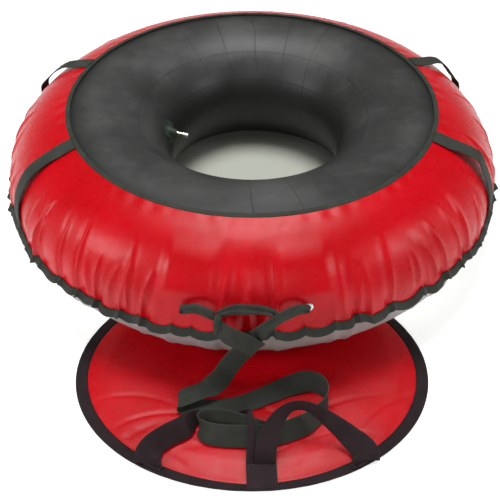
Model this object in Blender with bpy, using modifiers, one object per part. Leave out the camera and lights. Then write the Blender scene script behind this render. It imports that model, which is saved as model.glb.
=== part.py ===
# Snow tube: an inflated rubber ring in a gathered fabric cover with a seat well, webbing handles,
# a tow strap and a soft seat pad.
# Sizes are in metres. The ring stands on z = 0 with its centre on the origin, and its front faces -Y.
import math

import bmesh
import bpy
from mathutils import Matrix, Vector

# The ring: the cover's outer section is an ellipse carried round the centre.
ring_radius = 0.330
section_half_width = 0.166
section_half_height = 0.140
rubber_wall = 0.0018
cover_thickness = 0.0012
cover_gap = 0.0008
touch_gap = 0.0003
tube_facets = 48
cover_facets = 96

# The cover's seam, gathers and round opening. Angles go round the section, 0 outwards and 90 up.
rim_angle = 77.0
shoulder_angle = 60.0
upper_angle = 42.0
side_angle = 24.0
seam_drop = 0.009
gather_height = 0.0065
gather_fade_angle = 62.0
skirt_drop = 0.014
skirt_flare = 0.009
scallop_height = 0.005
bottom_edge_drop = 0.003
seat_floor_share = 1.04
calm_angle = 5.6

# Webbing folded round the free edges of the cover.
binding_leg = 0.0009
opening_binding_width = 0.009
opening_binding_slot = 0.0023
opening_lift = 0.0012
seam_binding_width = 0.0105
seam_binding_slot = 0.0022
binding_end = 0.0012

# Carrying handles: places round the ring, and the bow of each strap over the cover.
handle_azimuths = {"right_front": -21.5, "right_back": 22.8, "left_back": 158.5, "left_front": -154.6}
handle_width = 0.027
webbing_thickness = 0.0016
handle_bow = 0.024
handle_seat = 0.0004
handle_joint_height = 0.0055
handle_start_angle = 73.3
handle_upper_joint_angle = 65.0
handle_lower_joint_angle = 9.0
handle_bow_shares = (
    (0.0, 0.18), (0.12, 0.46), (0.28, 0.80), (0.45, 1.0), (0.62, 1.0), (0.78, 0.74), (0.90, 0.40), (1.0, 0.10),
)

# Grommets in the front of the cover: (azimuth, section angle).
grommet_places = {"left": (-103.0, 13.5), "right": (-79.1, 15.5)}
grommet_outer = 0.0090
grommet_hole = 0.0046
grommet_barrel = 0.0052
grommet_flange = 0.0014
grommet_lift = 0.0055
washer_thickness = 0.0010

# Valve on the inner wall of the seat well.
valve_azimuth = 173.0
valve_angle = 161.0
valve_droop = 12.0
patch_radius = 0.025
patch_height = 0.0026
boss_radius = 0.0115
boss_tip_radius = 0.0068
boss_length = 0.016
stem_radius = 0.0040
stem_tip_radius = 0.0037
stem_bore = 0.0025
stem_inside = 0.006
stem_length = 0.036
stem_tip_length = 0.009
core_length = 0.022
core_recess = 0.0010
pin_radius = 0.0006
pin_bore = 0.0009
pin_length = 0.024
cap_radius = 0.0050
cap_bore = 0.0040
cap_length = 0.0120
cap_cover = 0.0080
cap_bead = 0.0004
seal_thickness = 0.0010
valve_facets = 20

# Seat pad in front: an oval partly under the ring.
pad_half_width = 0.317
pad_half_depth = 0.250
pad_forward = 0.140
pad_sheet = 0.0008
foam_height = 0.006
foam_edge_height = 0.0012
foam_inset = 0.024
pad_binding_width = 0.0165
pad_binding_slot = 0.0028
pad_edge_inset = 0.0035
pad_slip = 0.0004
pad_clearance = 0.0008
pad_facets = 48
pad_shape_shares = ((0.45, 1.0), (0.78, 0.93))

# Pad handles: two loops whose sewn ends lie on one line near the front edge.
pad_handle_width = 0.050
pad_hinge_inset = 0.048
pad_hinge_clearance = 0.0030
pad_handle_left_x = -0.170
pad_handle_right_x = 0.186
pad_handle_centre_x = 0.015
centre_end_shares = (-0.50, -0.24, 0.50)
loop_reach = 0.100
# Each row of a loop: share of the span, share of the reach, rise in degrees, the direction that the
# webbing's face turns to in degrees, share of the webbing's width.
left_loop_shares = (
    (0.000, 0.000, 52, 142, 0.92),
    (0.000, 0.055, 52, 142, 0.91),
    (0.004, 0.135, 48, 145, 0.88),
    (0.036, 0.235, 38, 151, 0.85),
    (0.091, 0.335, 32, 158, 0.80),
    (0.202, 0.463, 26, 164, 0.76),
    (0.331, 0.591, 20, 170, 0.70),
    (0.394, 0.705, 15, 180, 0.60),
    (0.440, 0.846, 10.6, 198, 0.52),
    (0.530, 0.950, 8.4, 208, 0.48),
    (0.637, 0.974, 7.9, 214, 0.50),
    (0.745, 0.977, 8.8, 214, 0.50),
    (0.841, 0.974, 12.8, 206, 0.52),
    (0.919, 0.960, 20.4, 176, 0.54),
    (0.973, 0.920, 30, 138, 0.58),
    (1.012, 0.820, 38, 118, 0.60),
    (1.027, 0.650, 41, 118, 0.56),
    (1.024, 0.460, 43, 126, 0.48),
    (1.012, 0.272, 44, 132, 0.38),
    (1.003, 0.124, 46, 136, 0.30),
    (1.000, 0.040, 47, 137, 0.27),
    (1.000, 0.000, 47, 137, 0.26),
)
right_loop_shares = (
    (0.000, 0.000, 62, 152, 0.72),
    (0.000, 0.050, 62, 152, 0.72),
    (0.004, 0.120, 61, 156, 0.69),
    (0.022, 0.250, 57, 166, 0.62),
    (0.060, 0.470, 50, 182, 0.56),
    (0.110, 0.670, 45, 200, 0.54),
    (0.215, 0.910, 42, 216, 0.54),
    (0.395, 1.000, 39, 220, 0.54),
    (0.555, 0.880, 41, 216, 0.56),
    (0.655, 0.740, 40, 204, 0.60),
    (0.755, 0.570, 38, 190, 0.66),
    (0.850, 0.400, 41, 174, 0.74),
    (0.930, 0.270, 45, 160, 0.82),
    (0.984, 0.150, 48, 148, 0.88),
    (1.000, 0.060, 50, 140, 0.91),
    (1.000, 0.000, 50, 140, 0.92),
)

# Tow strap: a flat webbing. Each row is x, y, z, then the heading and dip of its width in degrees.
strap_width = 0.038
strap_thickness = 0.0016
drop_route = (
    (-0.0160, -0.5213, 0.1120, 0, -34),
    (-0.0254, -0.5190, 0.0965, 0, -33),
    (-0.0388, -0.5241, 0.0780, 0, -33),
    (-0.0480, -0.5270, 0.0610, -4, -32),
    (-0.0565, -0.5290, 0.0470, -14, -28),
    (-0.0655, -0.5300, 0.0365, -32, -18),
    (-0.0780, -0.5315, 0.0290, -58, 0),
    (-0.0915, -0.5340, 0.0245, -75, 16),
)
lying_route = (
    (-0.0920, -0.5341, 0.0243, -75, 16),
    (-0.1060, -0.5372, 0.0222, -78, 25),
    (-0.1190, -0.5412, 0.0208, -80, 28),
    (-0.1270, -0.5450, 0.0178, -82, 22),
    (-0.1240, -0.5520, 0.0130, -86, 5),
    (-0.1050, -0.5590, 0.0112, -98, 0),
    (-0.0800, -0.5630, 0.0111, -95, 0),
    (-0.0480, -0.5620, 0.0111, -84, 0),
    (-0.0120, -0.5525, 0.0113, -70, 0),
    (0.0300, -0.5330, 0.0122, -66, -3),
    (0.0600, -0.5200, 0.0152, -78, -14),
    (0.0860, -0.5150, 0.0228, -88, -36),
    (0.1080, -0.5190, 0.0278, -90, -52),
    (0.1240, -0.5320, 0.0295, -90, -62),
    (0.1300, -0.5510, 0.0295, -90, -66),
    (0.1260, -0.5710, 0.0290, -90, -62),
    (0.1110, -0.5890, 0.0275, -90, -56),
    (0.0880, -0.6070, 0.0265, -90, -52),
    (0.0520, -0.6225, 0.0260, -90, -50),
    (0.0180, -0.6290, 0.0258, -90, -49),
    (-0.0160, -0.6305, 0.0256, -90, -48),
    (-0.0500, -0.6290, 0.0258, -90, -49),
    (-0.0750, -0.6240, 0.0270, -90, -53),
    (-0.0865, -0.6120, 0.0278, -90, -56),
    (-0.0835, -0.6014, 0.0278, -90, -56),
    (-0.0660, -0.5974, 0.0270, -90, -54),
    (-0.0390, -0.6005, 0.0262, -90, -52),
    (-0.0080, -0.6108, 0.0258, -90, -50),
    (0.0180, -0.6220, 0.0257, -90, -49),
    (0.0400, -0.6226, 0.0257, -90, -49),
)
route_steps = 2

# Bridle webbing tied between the grommets. Rows: azimuth, section angle, height over the cover's
# section, then width and thickness as shares of the tow strap's width.
knot_place = (-96.2, 10.6, 0.0240)
knot_half_sizes = (0.0072, 0.0085, 0.0215)
bridle_left_rows = (
    (-101.7, 17.4, 0.0170, 0.34, 0.110),
    (-100.6, 18.4, 0.0190, 0.42, 0.095),
    (-99.0, 18.0, 0.0215, 0.44, 0.095),
    (-96.93, 16.2, 0.0237, 0.40, 0.110),
)
bridle_top_rows = (
    (-95.62, 17.75, 0.0231, 0.34, 0.090),
    (-93.4, 20.2, 0.0210, 0.46, 0.075),
    (-91.0, 20.2, 0.0205, 0.48, 0.070),
    (-88.5, 20.2, 0.0205, 0.42, 0.075),
    (-86.19, 18.70, 0.02275, 0.30, 0.090),
)
bridle_right_rows = (
    (-80.7, 18.4, 0.0180, 0.40, 0.110),
    (-82.4, 18.4, 0.0215, 0.46, 0.095),
    (-85.3, 14.6, 0.0250, 0.48, 0.085),
    (-87.3, 10.4, 0.0275, 0.58, 0.070),
    (-89.3, 4.2, 0.0295, 0.80, 0.055),
)
tail_rows = (
    (-95.30, 8.4, 0.0296, 0.72, 0.050),
    (-93.9, 5.6, 0.0340, 0.92, 0.044),
    (-92.0, 3.4, 0.0365, 1.0, 0.042),
    (-90.4, 0.2, 0.0375, 1.0, 0.042),
    (-89.0, -3.6, 0.0375, 1.0, 0.042),
)
bridle_twist = {"left": 0.0, "top": 0.0, "right": -34.0, "tail": 30.0}
bridle_neck_share = 0.17
bridle_neck_heights = (-0.0012, 0.0050, 0.0092)

bodies = bpy.data.collections.new("snow_tube")
cutters = bpy.data.collections.new("cutters")


def finish(name, colour, roughness, metallic=0.0):
    """A plain surface finish."""
    material = bpy.data.materials.new(name)
    material.use_nodes = True
    shader = material.node_tree.nodes["Principled BSDF"]
    shader.inputs["Base Color"].default_value = (*colour, 1.0)
    shader.inputs["Roughness"].default_value = roughness
    shader.inputs["Metallic"].default_value = metallic
    return material


def place(name, bm, material, collection=bodies, matrix=None, smooth=35.0):
    """Turns a bmesh into a named object with outward faces."""
    mesh = bpy.data.meshes.new(name)
    bm.to_mesh(mesh)
    bm.free()
    piece = bpy.data.objects.new(name, mesh)
    collection.objects.link(piece)
    if matrix is not None:
        piece.matrix_world = matrix
    if material is not None:
        mesh.materials.append(material)
    mesh.shade_smooth()
    mesh.set_sharp_from_angle(angle=math.radians(smooth))
    if collection is cutters:
        piece.hide_render = True
        piece.display_type = "WIRE"
    return piece


def boolean(piece, cutter, operation="DIFFERENCE"):
    """Cuts or joins a piece with a cutter by the exact solver."""
    step = piece.modifiers.new(operation.lower(), "BOOLEAN")
    step.operation = operation
    step.solver = "EXACT"
    step.object = cutter


def thicken(piece, thickness):
    """Gives an open sheet its thickness on the side that its faces turn away from."""
    step = piece.modifiers.new("thickness", "SOLIDIFY")
    step.thickness = thickness
    step.offset = -1.0
    step.use_even_offset = True


def section_point(angle, grow=0.0):
    """Distance from the centre line and height of a point of the section, grown outwards."""
    a = math.radians(angle)
    across = (section_half_width + grow) * math.cos(a)
    up = (section_half_height + grow) * math.sin(a)
    return ring_radius + across, section_half_height + up


def section_radius_at(height, grow=0.0):
    """Outer radius of the grown section at a height."""
    share = (height - section_half_height) / (section_half_height + grow)
    return ring_radius + (section_half_width + grow) * math.sqrt(max(0.0, 1.0 - share * share))


def around(radius, height, azimuth):
    """A point at a distance from the centre line, a height and an azimuth in degrees."""
    a = math.radians(azimuth)
    return Vector((radius * math.cos(a), radius * math.sin(a), height))


def on_cover(azimuth, angle, grow=0.0):
    """A point over the cover's section."""
    radius, height = section_point(angle, grow)
    return around(radius, height, azimuth)


def grid(bm, rows, flip=False, closed=False):
    """Quads between closed rows of points; the last row meets the first if closed."""
    made = [[bm.verts.new(p) for p in row] for row in rows]
    if closed:
        made.append(made[0])
    count = len(made[0])
    for upper, lower in zip(made, made[1:]):
        for k in range(count):
            n = (k + 1) % count
            quad = [upper[k], lower[k], lower[n], upper[n]]
            bm.faces.new(quad[::-1] if flip else quad)
    return made


def smooth_rows(rows, steps):
    """Rows of numbers along a smooth curve through the given rows."""
    out = []
    last = len(rows) - 1
    for i in range(last):
        a, b, c, d = rows[max(i - 1, 0)], rows[i], rows[i + 1], rows[min(i + 2, last)]
        for s in range(steps):
            t = s / steps
            point = []
            for p0, p1, p2, p3 in zip(a, b, c, d):
                m1, m2 = (p2 - p0) / 2, (p3 - p1) / 2
                t2, t3 = t * t, t * t * t
                point.append(
                    (2 * t3 - 3 * t2 + 1) * p1 + (t3 - 2 * t2 + t) * m1 + (3 * t2 - 2 * t3) * p2 + (t3 - t2) * m2
                )
            out.append(tuple(point))
    out.append(tuple(float(x) for x in rows[last]))
    return out


def loft(name, sections, material, closed=False, twisted=False):
    """A solid through sections of equal point counts, each a list of points in order. The sides of a
    twisted one are split into triangles."""
    bm = bmesh.new()
    made = grid(bm, sections, closed=closed)
    if not closed:
        bm.faces.new(made[0])
        bm.faces.new(made[-1][::-1])
    if twisted:
        bmesh.ops.triangulate(bm, faces=bm.faces)
    bmesh.ops.recalc_face_normals(bm, faces=bm.faces)
    return place(name, bm, material)


def band_section(centre, across, thick):
    """The four corners of a webbing's section from its half width and half thickness."""
    return [centre - across - thick, centre + across - thick, centre + across + thick, centre - across + thick]


def webbing(name, centres, acrosses, widths, thicknesses, material, square=True):
    """A flat band along points. Its width follows the given directions, turned square to its run if
    asked, but for the two ends, which keep them."""
    sections = []
    last = len(centres) - 1
    for i, centre in enumerate(centres):
        run = (centres[min(i + 1, last)] - centres[max(i - 1, 0)]).normalized()
        across = acrosses[i]
        if square and 0 < i < last:
            across = (across - run * across.dot(run)).normalized()
        thick = across.cross(run).normalized()
        sections.append(band_section(centre, across * widths[i] / 2, thick * thicknesses[i] / 2))
    return loft(name, sections, material, twisted=True)


def turned(name, profile, material, matrix=None, facets=valve_facets, collection=bodies, flip=False):
    """A solid of revolution about Z. A profile is a closed line, or runs from axis to axis."""
    bm = bmesh.new()
    verts = [bm.verts.new((r, 0.0, z)) for r, z in profile]
    pairs = list(zip(verts, verts[1:]))
    if profile[0][0] > 0.0:
        pairs.append((verts[-1], verts[0]))
    for a, b in pairs:
        bm.edges.new((a, b))
    piece = place(name, bm, material, collection, matrix)
    step = piece.modifiers.new("turn", "SCREW")
    step.axis = "Z"
    step.angle = 2 * math.pi
    step.steps = facets
    step.render_steps = facets
    step.use_merge_vertices = True
    step.merge_threshold = 0.00001
    step.use_normal_flip = flip
    return piece


def rod(name, radius, low, high, matrix, facets=valve_facets, collection=cutters, material=None, tip=None):
    """A cylinder, or a cone to a tip radius, between two heights of a frame."""
    bm = bmesh.new()
    bmesh.ops.create_cone(
        bm, cap_ends=True, segments=facets, radius1=radius, radius2=tip or radius, depth=high - low
    )
    bmesh.ops.translate(bm, verts=bm.verts, vec=(0.0, 0.0, (low + high) / 2))
    return place(name, bm, material, collection, matrix)


def frame_at(origin, normal, up=Vector((0.0, 0.0, 1.0))):
    """A frame with its Z along a normal and its Y as near to up as it can be."""
    z = normal.normalized()
    x = up.cross(z).normalized()
    y = z.cross(x)
    turn = Matrix((x, y, z)).transposed().to_4x4()
    return Matrix.Translation(origin) @ turn


# Where the pad lies, and how far it lifts the ring's underside.
pad_centre_y = -(ring_radius + pad_forward)
pad_sole = binding_leg + pad_binding_slot / 2 - pad_sheet - touch_gap / 2
pad_top_edge = pad_sole + pad_sheet + touch_gap
foam_base = pad_sole + pad_sheet + touch_gap
pad_top = foam_base + foam_height + touch_gap + pad_sheet
lift_height = pad_top + pad_clearance
lift_radius = -(pad_centre_y + pad_half_depth) - pad_edge_inset
tube_grow = -(cover_thickness + cover_gap)


def pad_point(angle, inset, height):
    """A point of the pad's oval, drawn in from its edge."""
    a = math.radians(angle)
    x = (pad_half_width - inset) * math.cos(a)
    y = pad_centre_y + (pad_half_depth - inset) * math.sin(a)
    return Vector((x, y, height))


def pad_reach_angle():
    """How far round from the front the pad lies under the ring."""
    widest = 0.0
    for step in range(360):
        p = pad_point(step, 0.0, 0.0)
        if math.hypot(p.x, p.y) < ring_radius + section_half_width:
            widest = max(widest, math.degrees(math.atan2(abs(p.x), -p.y)))
    return widest


lift_half_angle = pad_reach_angle() + 360.0 / tube_facets


def from_front(azimuth):
    """Degrees between an azimuth and the front, -Y."""
    return abs((azimuth + 90.0 + 180.0) % 360.0 - 180.0)


def apart(a, b):
    """Degrees between two azimuths."""
    return abs((a - b + 180.0) % 360.0 - 180.0)


def lifted(point, azimuth, over):
    """Raises a point of the underside where the pad lies beneath it."""
    radius = math.hypot(point.x, point.y)
    if from_front(azimuth) <= lift_half_angle and radius >= lift_radius - touch_gap:
        point.z = max(point.z, lift_height + over)
    return point


def gather(k, angle):
    """Height of the cover's folds at facet k: ridges on even facets, dying out towards the shoulder."""
    azimuth = 360.0 * k / cover_facets
    for place_azimuth, _ in grommet_places.values():
        if apart(azimuth, place_azimuth) < calm_angle:
            share = (gather_fade_angle - angle) / (gather_fade_angle - upper_angle)
            return grommet_lift * min(1.0, max(0.0, share))
    fade = min(1.0, max(0.0, (gather_fade_angle - angle) / gather_fade_angle))
    fade = fade * fade * (3.0 - 2.0 * fade)
    height = gather_height * (0.80 + 0.20 * math.sin(1.9 * k) * math.cos(0.7 * k)) if k % 2 == 0 else 0.0
    for place_azimuth in handle_azimuths.values():
        if apart(azimuth, place_azimuth) < calm_angle:
            height = 0.0
    return height * fade


def scallop(k):
    """The seam's rise and fall from ridge to valley."""
    return -scallop_height / 2 if k % 2 == 0 else scallop_height / 2


seam_height = section_half_height - seam_drop
seam_angle = math.degrees(math.asin(-seam_drop / section_half_height))
seam_top = math.degrees(math.asin((scallop_height / 2 - seam_drop) / section_half_height))
tube_angles = (
    seam_angle, side_angle, upper_angle, shoulder_angle, rim_angle, 98.0, 120.0, 141.0, valve_angle,
    180.0, 202.5, 225.0, 247.5, 270.0, 292.5, 315.0, 336.0,
)


def tube_rows(grow, facets=tube_facets):
    """The closed ring's surface points, row by row round the section."""
    rows = []
    for angle in tube_angles:
        row = []
        for k in range(facets):
            azimuth = 360.0 * k / facets
            row.append(lifted(on_cover(azimuth, angle, grow), azimuth, -tube_grow))
        rows.append(row)
    return rows


def ring_solid(name, grow):
    """A closed filled ring a little larger or smaller than the rubber ring, used as a cutter."""
    bm = bmesh.new()
    grid(bm, tube_rows(grow), flip=True, closed=True)
    bmesh.ops.recalc_face_normals(bm, faces=bm.faces)
    return place(name, bm, None, cutters)


def make_tube(finishes):
    """The hollow rubber ring with the hole that its valve goes through."""
    bm = bmesh.new()
    grid(bm, tube_rows(tube_grow), flip=True, closed=True)
    bmesh.ops.recalc_face_normals(bm, faces=bm.faces)
    tube = place("inner_tube", bm, finishes["rubber"])
    thicken(tube, rubber_wall)
    hole = rod("valve_hole", stem_radius + touch_gap, -boss_length, boss_length, stem_frame())
    boolean(tube, hole)


def make_cover_top(finishes):
    """The red upper cover: round opening, gathered side and flared skirt below the seam."""
    rows = []
    for angle in (rim_angle, shoulder_angle, upper_angle, side_angle):
        row = []
        for k in range(cover_facets):
            grow = gather(k, angle) + (opening_lift if angle == rim_angle else 0.0)
            row.append(on_cover(360.0 * k / cover_facets, angle, grow))
        rows.append(row)
    rows.append([seam_point(k) for k in range(cover_facets)])
    rows.append([skirt_point(k) for k in range(cover_facets)])
    bm = bmesh.new()
    grid(bm, rows)
    cover = place("cover_top", bm, finishes["red"])
    thicken(cover, cover_thickness)
    for side in grommet_places:
        reach = grommet_lift + cover_thickness
        hole = rod("grommet_hole_" + side, grommet_barrel + touch_gap, -reach, reach, grommet_frame(side))
        boolean(cover, hole)


def seam_point(k, drop=0.0, inset=0.0):
    """A point of the scalloped seam line."""
    height = seam_height + scallop(k) - drop
    radius = section_radius_at(height, gather(k, seam_angle) - inset)
    return around(radius, height, 360.0 * k / cover_facets)


def skirt_point(k):
    """A point of the skirt's free edge."""
    azimuth = 360.0 * k / cover_facets
    root = seam_point(k)
    radius = math.hypot(root.x, root.y) + skirt_flare
    return around(radius, root.z - skirt_drop, azimuth)


def make_cover_bottom(finishes):
    """The grey lower cover: flat seat floor, ring's underside, lifted over the pad, up to the seam."""
    seat_floor = (ring_radius - section_half_width) * seat_floor_share
    rings = [(seat_floor, 0.0), (lift_radius, 0.0)]
    rings += [section_point(angle) for angle in (270.0, 292.5, 315.0, 336.0)]
    rows = []
    for radius, height in rings:
        row = []
        for k in range(tube_facets):
            azimuth = 360.0 * k / tube_facets
            row.append(lifted(around(radius, height, azimuth), azimuth, 0.0))
        rows.append(row)
    bm = bmesh.new()
    made = grid(bm, rows, flip=True)
    centre = bm.verts.new((0.0, 0.0, 0.0))
    for k in range(tube_facets):
        bm.faces.new((made[0][(k + 1) % tube_facets], made[0][k], centre))
    edge = [bm.verts.new(seam_point(k, bottom_edge_drop)) for k in range(cover_facets)]
    split = cover_facets // tube_facets
    for k in range(tube_facets):
        lower, nearby = made[-1][k], made[-1][(k + 1) % tube_facets]
        upper = [edge[(k * split + s) % cover_facets] for s in range(split + 1)]
        middle = upper[split // 2]
        bm.faces.new((lower, middle, upper[0]))
        bm.faces.new((lower, nearby, middle))
        bm.faces.new((nearby, upper[-1], middle))
    cover = place("cover_bottom", bm, finishes["grey"])
    thicken(cover, cover_thickness)


def folded_section(edge, beyond, out, width, slot):
    """The U-shaped section of a binding folded round a cloth's edge, from the cloth's mid plane."""
    half = slot / 2
    outer = half + binding_leg
    spots = (
        (-width, -outer), (binding_end, -outer), (binding_end, outer), (-width, outer),
        (-width, half), (binding_end - binding_leg, half), (binding_end - binding_leg, -half), (-width, -half),
    )
    return [edge + beyond * s + out * t for s, t in spots]


def make_opening_binding(finishes):
    """Webbing folded round the rim of the cover's opening."""
    sections = []
    for k in range(tube_facets):
        azimuth = 360.0 * k / tube_facets
        rim = on_cover(azimuth, rim_angle, opening_lift)
        inner = on_cover(azimuth, shoulder_angle)
        beyond = (rim - inner).normalized()
        out = beyond.cross(Vector((0.0, 0.0, 1.0)).cross(beyond)).normalized()
        out = out if out.z > 0 else -out
        edge = rim - out * cover_thickness / 2 + beyond * touch_gap
        sections.append(folded_section(edge, beyond, out, opening_binding_width, opening_binding_slot))
    loft("opening_binding", sections, finishes["webbing"], closed=True)


def make_seam_binding(finishes):
    """Webbing folded round the skirt's scalloped edge."""
    sections = []
    for k in range(cover_facets):
        root, tip = seam_point(k), skirt_point(k)
        beyond = (tip - root).normalized()
        radial = around(1.0, 0.0, 360.0 * k / cover_facets)
        out = (radial - beyond * beyond.dot(radial)).normalized()
        edge = tip - out * cover_thickness / 2 + beyond * touch_gap
        sections.append(folded_section(edge, beyond, out, seam_binding_width, seam_binding_slot))
    loft("seam_binding", sections, finishes["webbing"], closed=True)


def facet_point(azimuth, angle, height):
    """A point over the cover's own flat facets, away from its gathers."""
    rows = ((rim_angle, opening_lift), (shoulder_angle, 0.0), (upper_angle, 0.0), (side_angle, 0.0), (seam_top, 0.0))
    for (above, high), (below, low) in zip(rows, rows[1:]):
        if angle >= below:
            top, foot = on_cover(azimuth, above, high), on_cover(azimuth, below, low)
            run = (top - foot).normalized()
            sideways = Vector((0.0, 0.0, 1.0)).cross(around(1.0, 0.0, azimuth))
            out = sideways.cross(run).normalized()
            return foot.lerp(top, (angle - below) / (above - below)) + out * height


def bow_share(share):
    """Height of a handle over the cover as a share of its bow."""
    for (a, low), (b, high) in zip(handle_bow_shares, handle_bow_shares[1:]):
        if share <= b:
            return low + (high - low) * (share - a) / (b - a)
    return handle_bow_shares[-1][1]


def make_handle(name, azimuth, finishes):
    """A carrying handle: sewn upper end, free strap, sewn lower end, all from one webbing."""
    seat = handle_seat + webbing_thickness / 2
    joint = handle_joint_height

    def at(angle, height):
        return on_cover(azimuth, angle, height)

    upper_joint = facet_point(azimuth, handle_upper_joint_angle, joint)
    lower_joint = facet_point(azimuth, handle_lower_joint_angle, joint)
    chord = (lower_joint - upper_joint).normalized()
    side = Vector((0.0, 0.0, 1.0)).cross(around(1.0, 0.0, azimuth)).normalized()
    square = side.cross(chord).normalized()

    def strip(piece_name, centres, start_cut, end_cut):
        sections = []
        last = len(centres) - 1
        for i, centre in enumerate(centres):
            run = (centres[min(i + 1, last)] - centres[max(i - 1, 0)]).normalized()
            out = side.cross(run).normalized() * webbing_thickness / 2
            if (i == 0 and start_cut) or (i == last and end_cut):
                out = square * (webbing_thickness / 2) / square.dot(side.cross(run).normalized())
            sections.append(band_section(centre, side * handle_width / 2, out))
        loft(piece_name, sections, finishes["webbing"])

    middle = [upper_joint + chord * touch_gap]
    for share, _ in handle_bow_shares[1:-1]:
        angle = handle_upper_joint_angle + (handle_lower_joint_angle - handle_upper_joint_angle) * share
        middle.append(at(angle, handle_bow * bow_share(share)))
    middle.append(lower_joint - chord * touch_gap)
    strip(f"handle_{name}", middle, True, True)
    upper = [
        facet_point(azimuth, handle_start_angle, seat + opening_binding_slot),
        facet_point(azimuth, (handle_start_angle + handle_upper_joint_angle) / 2, seat),
        upper_joint,
    ]
    strip(f"handle_{name}_upper_end", upper, False, True)
    lower = [
        lower_joint,
        facet_point(azimuth, (handle_lower_joint_angle + seam_top) / 2, seat),
        facet_point(azimuth, seam_top, seat),
    ]
    strip(f"handle_{name}_lower_end", lower, True, False)


def grommet_frame(side):
    """Frame on the cover's facet at a grommet: origin on its outer side, Z out of the cover."""
    azimuth, angle = grommet_places[side]
    low = on_cover(azimuth, seam_angle, grommet_lift)
    high = on_cover(azimuth, side_angle, grommet_lift)
    share = (angle - seam_angle) / (side_angle - seam_angle)
    up = (high - low).normalized()
    sideways = Vector((0.0, 0.0, 1.0)).cross(around(1.0, 0.0, azimuth))
    return frame_at(low.lerp(high, share), sideways.cross(up), up)


def make_grommet(side, finishes):
    """An eyelet with its rolled flange in front of the cover, and its washer behind."""
    hole, barrel, outer, flange = grommet_hole, grommet_barrel, grommet_outer, grommet_flange
    front = touch_gap * 2
    back = -(cover_thickness + touch_gap * 2 + washer_thickness)
    rise = front + flange
    eyelet = (
        (outer, front), (barrel, front), (barrel, back), (hole, back), (hole, front + flange * 0.6),
        ((hole + barrel) / 2, rise), ((hole + outer) / 2, rise), (outer, front + flange * 0.45),
    )
    turned("grommet_" + side, eyelet, finishes["chrome"], grommet_frame(side), facets=20)
    near = back + washer_thickness
    washer = ((outer, near), (outer, back), (barrel + touch_gap, back), (barrel + touch_gap, near))
    turned(f"grommet_{side}_washer", washer, finishes["chrome"], grommet_frame(side), facets=16)


def surface_axes(azimuth, angle):
    """Sideways, up the section, and outwards directions over the cover, plumb below its middle."""
    a = math.radians(max(angle, 0.0))
    sideways = Vector((0.0, 0.0, 1.0)).cross(around(1.0, 0.0, azimuth))
    out = around(1.0, 0.0, azimuth) * math.cos(a) / section_half_width
    out = (out + Vector((0.0, 0.0, 1.0)) * math.sin(a) / section_half_height).normalized()
    return sideways, out.cross(sideways).normalized(), out


def bridle_band(name, rows, twist, finishes, neck=None, steps=2):
    """A crumpled webbing over the cover; with a neck it comes out of a grommet first."""
    centres, acrosses, widths, thicknesses = [], [], [], []
    if neck:
        frame = grommet_frame(neck)
        origin, out = frame.translation, frame.col[2].to_3d()
        first = on_cover(*rows[0][:3])
        for i, height in enumerate(bridle_neck_heights):
            centres.append(origin + out * height)
            acrosses.append(frame.col[1].to_3d())
            widths.append(strap_width * bridle_neck_share * (1.0 + 0.25 * i))
            thicknesses.append(strap_width * bridle_neck_share * (0.9 - 0.12 * i))
        centres[-1] = centres[-1].lerp(first, 0.28)
    for azimuth, angle, height, width, thickness in smooth_rows(rows, steps):
        sideways, up, out = surface_axes(azimuth, angle)
        centres.append(on_cover(azimuth, angle, height))
        t = math.radians(twist)
        acrosses.append(up * math.cos(t) + sideways * math.sin(t))
        widths.append(strap_width * width)
        thicknesses.append(strap_width * thickness)
    return webbing(name, centres, acrosses, widths, thicknesses, finishes["webbing"])


def make_bridle(finishes):
    """The webbing tied between the grommets, its knot and its cut tail."""
    bridle_band("bridle_left", bridle_left_rows, bridle_twist["left"], finishes, "left")
    bridle_band("bridle_top", bridle_top_rows, bridle_twist["top"], finishes)
    bridle_band("bridle_right", bridle_right_rows, bridle_twist["right"], finishes, "right")
    bridle_band("bridle_tail", tail_rows, bridle_twist["tail"], finishes)
    azimuth, angle, height = knot_place
    sideways, up, out = surface_axes(azimuth, angle)
    bm = bmesh.new()
    bmesh.ops.create_uvsphere(bm, u_segments=12, v_segments=8, radius=1.0)
    for vert in bm.verts:
        wrap = 1.0 - 0.10 * math.cos(5.0 * math.pi * vert.co.z) * (1.0 - abs(vert.co.z))
        vert.co.x *= wrap
        vert.co.y *= wrap
    bmesh.ops.scale(bm, vec=knot_half_sizes, verts=bm.verts)
    turn = Matrix((sideways, out, up)).transposed().to_4x4()
    place("strap_knot", bm, finishes["webbing"], matrix=Matrix.Translation(on_cover(azimuth, angle, height)) @ turn)


def strap_piece(name, route, finishes):
    """A stretch of the tow strap along its route."""
    centres, acrosses = [], []
    for x, y, z, heading, dip in smooth_rows(route, route_steps):
        h, d = math.radians(heading), math.radians(dip)
        centres.append(Vector((x, y, z)))
        acrosses.append(Vector((math.cos(h) * math.cos(d), math.sin(h) * math.cos(d), math.sin(d))))
    count = len(centres)
    webbing(name, centres, acrosses, [strap_width] * count, [strap_thickness] * count, finishes["webbing"], False)


def valve_point():
    """The valve's place on the rubber ring's outer surface."""
    return on_cover(valve_azimuth, valve_angle, tube_grow)


def patch_frame():
    """Frame on the ring's wall at the valve, Z out of the rubber."""
    azimuth = valve_azimuth
    before = on_cover(azimuth, valve_angle - 10.0, tube_grow)
    after = on_cover(azimuth, valve_angle + 10.0, tube_grow)
    sideways = Vector((0.0, 0.0, 1.0)).cross(around(1.0, 0.0, azimuth))
    return frame_at(valve_point(), sideways.cross(before - after))


def stem_frame():
    """Frame on the valve's axis, Z towards its tip."""
    droop = math.radians(valve_droop)
    inwards = -around(1.0, 0.0, valve_azimuth)
    direction = inwards * math.cos(droop) - Vector((0.0, 0.0, 1.0)) * math.sin(droop)
    return frame_at(valve_point(), direction)


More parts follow.
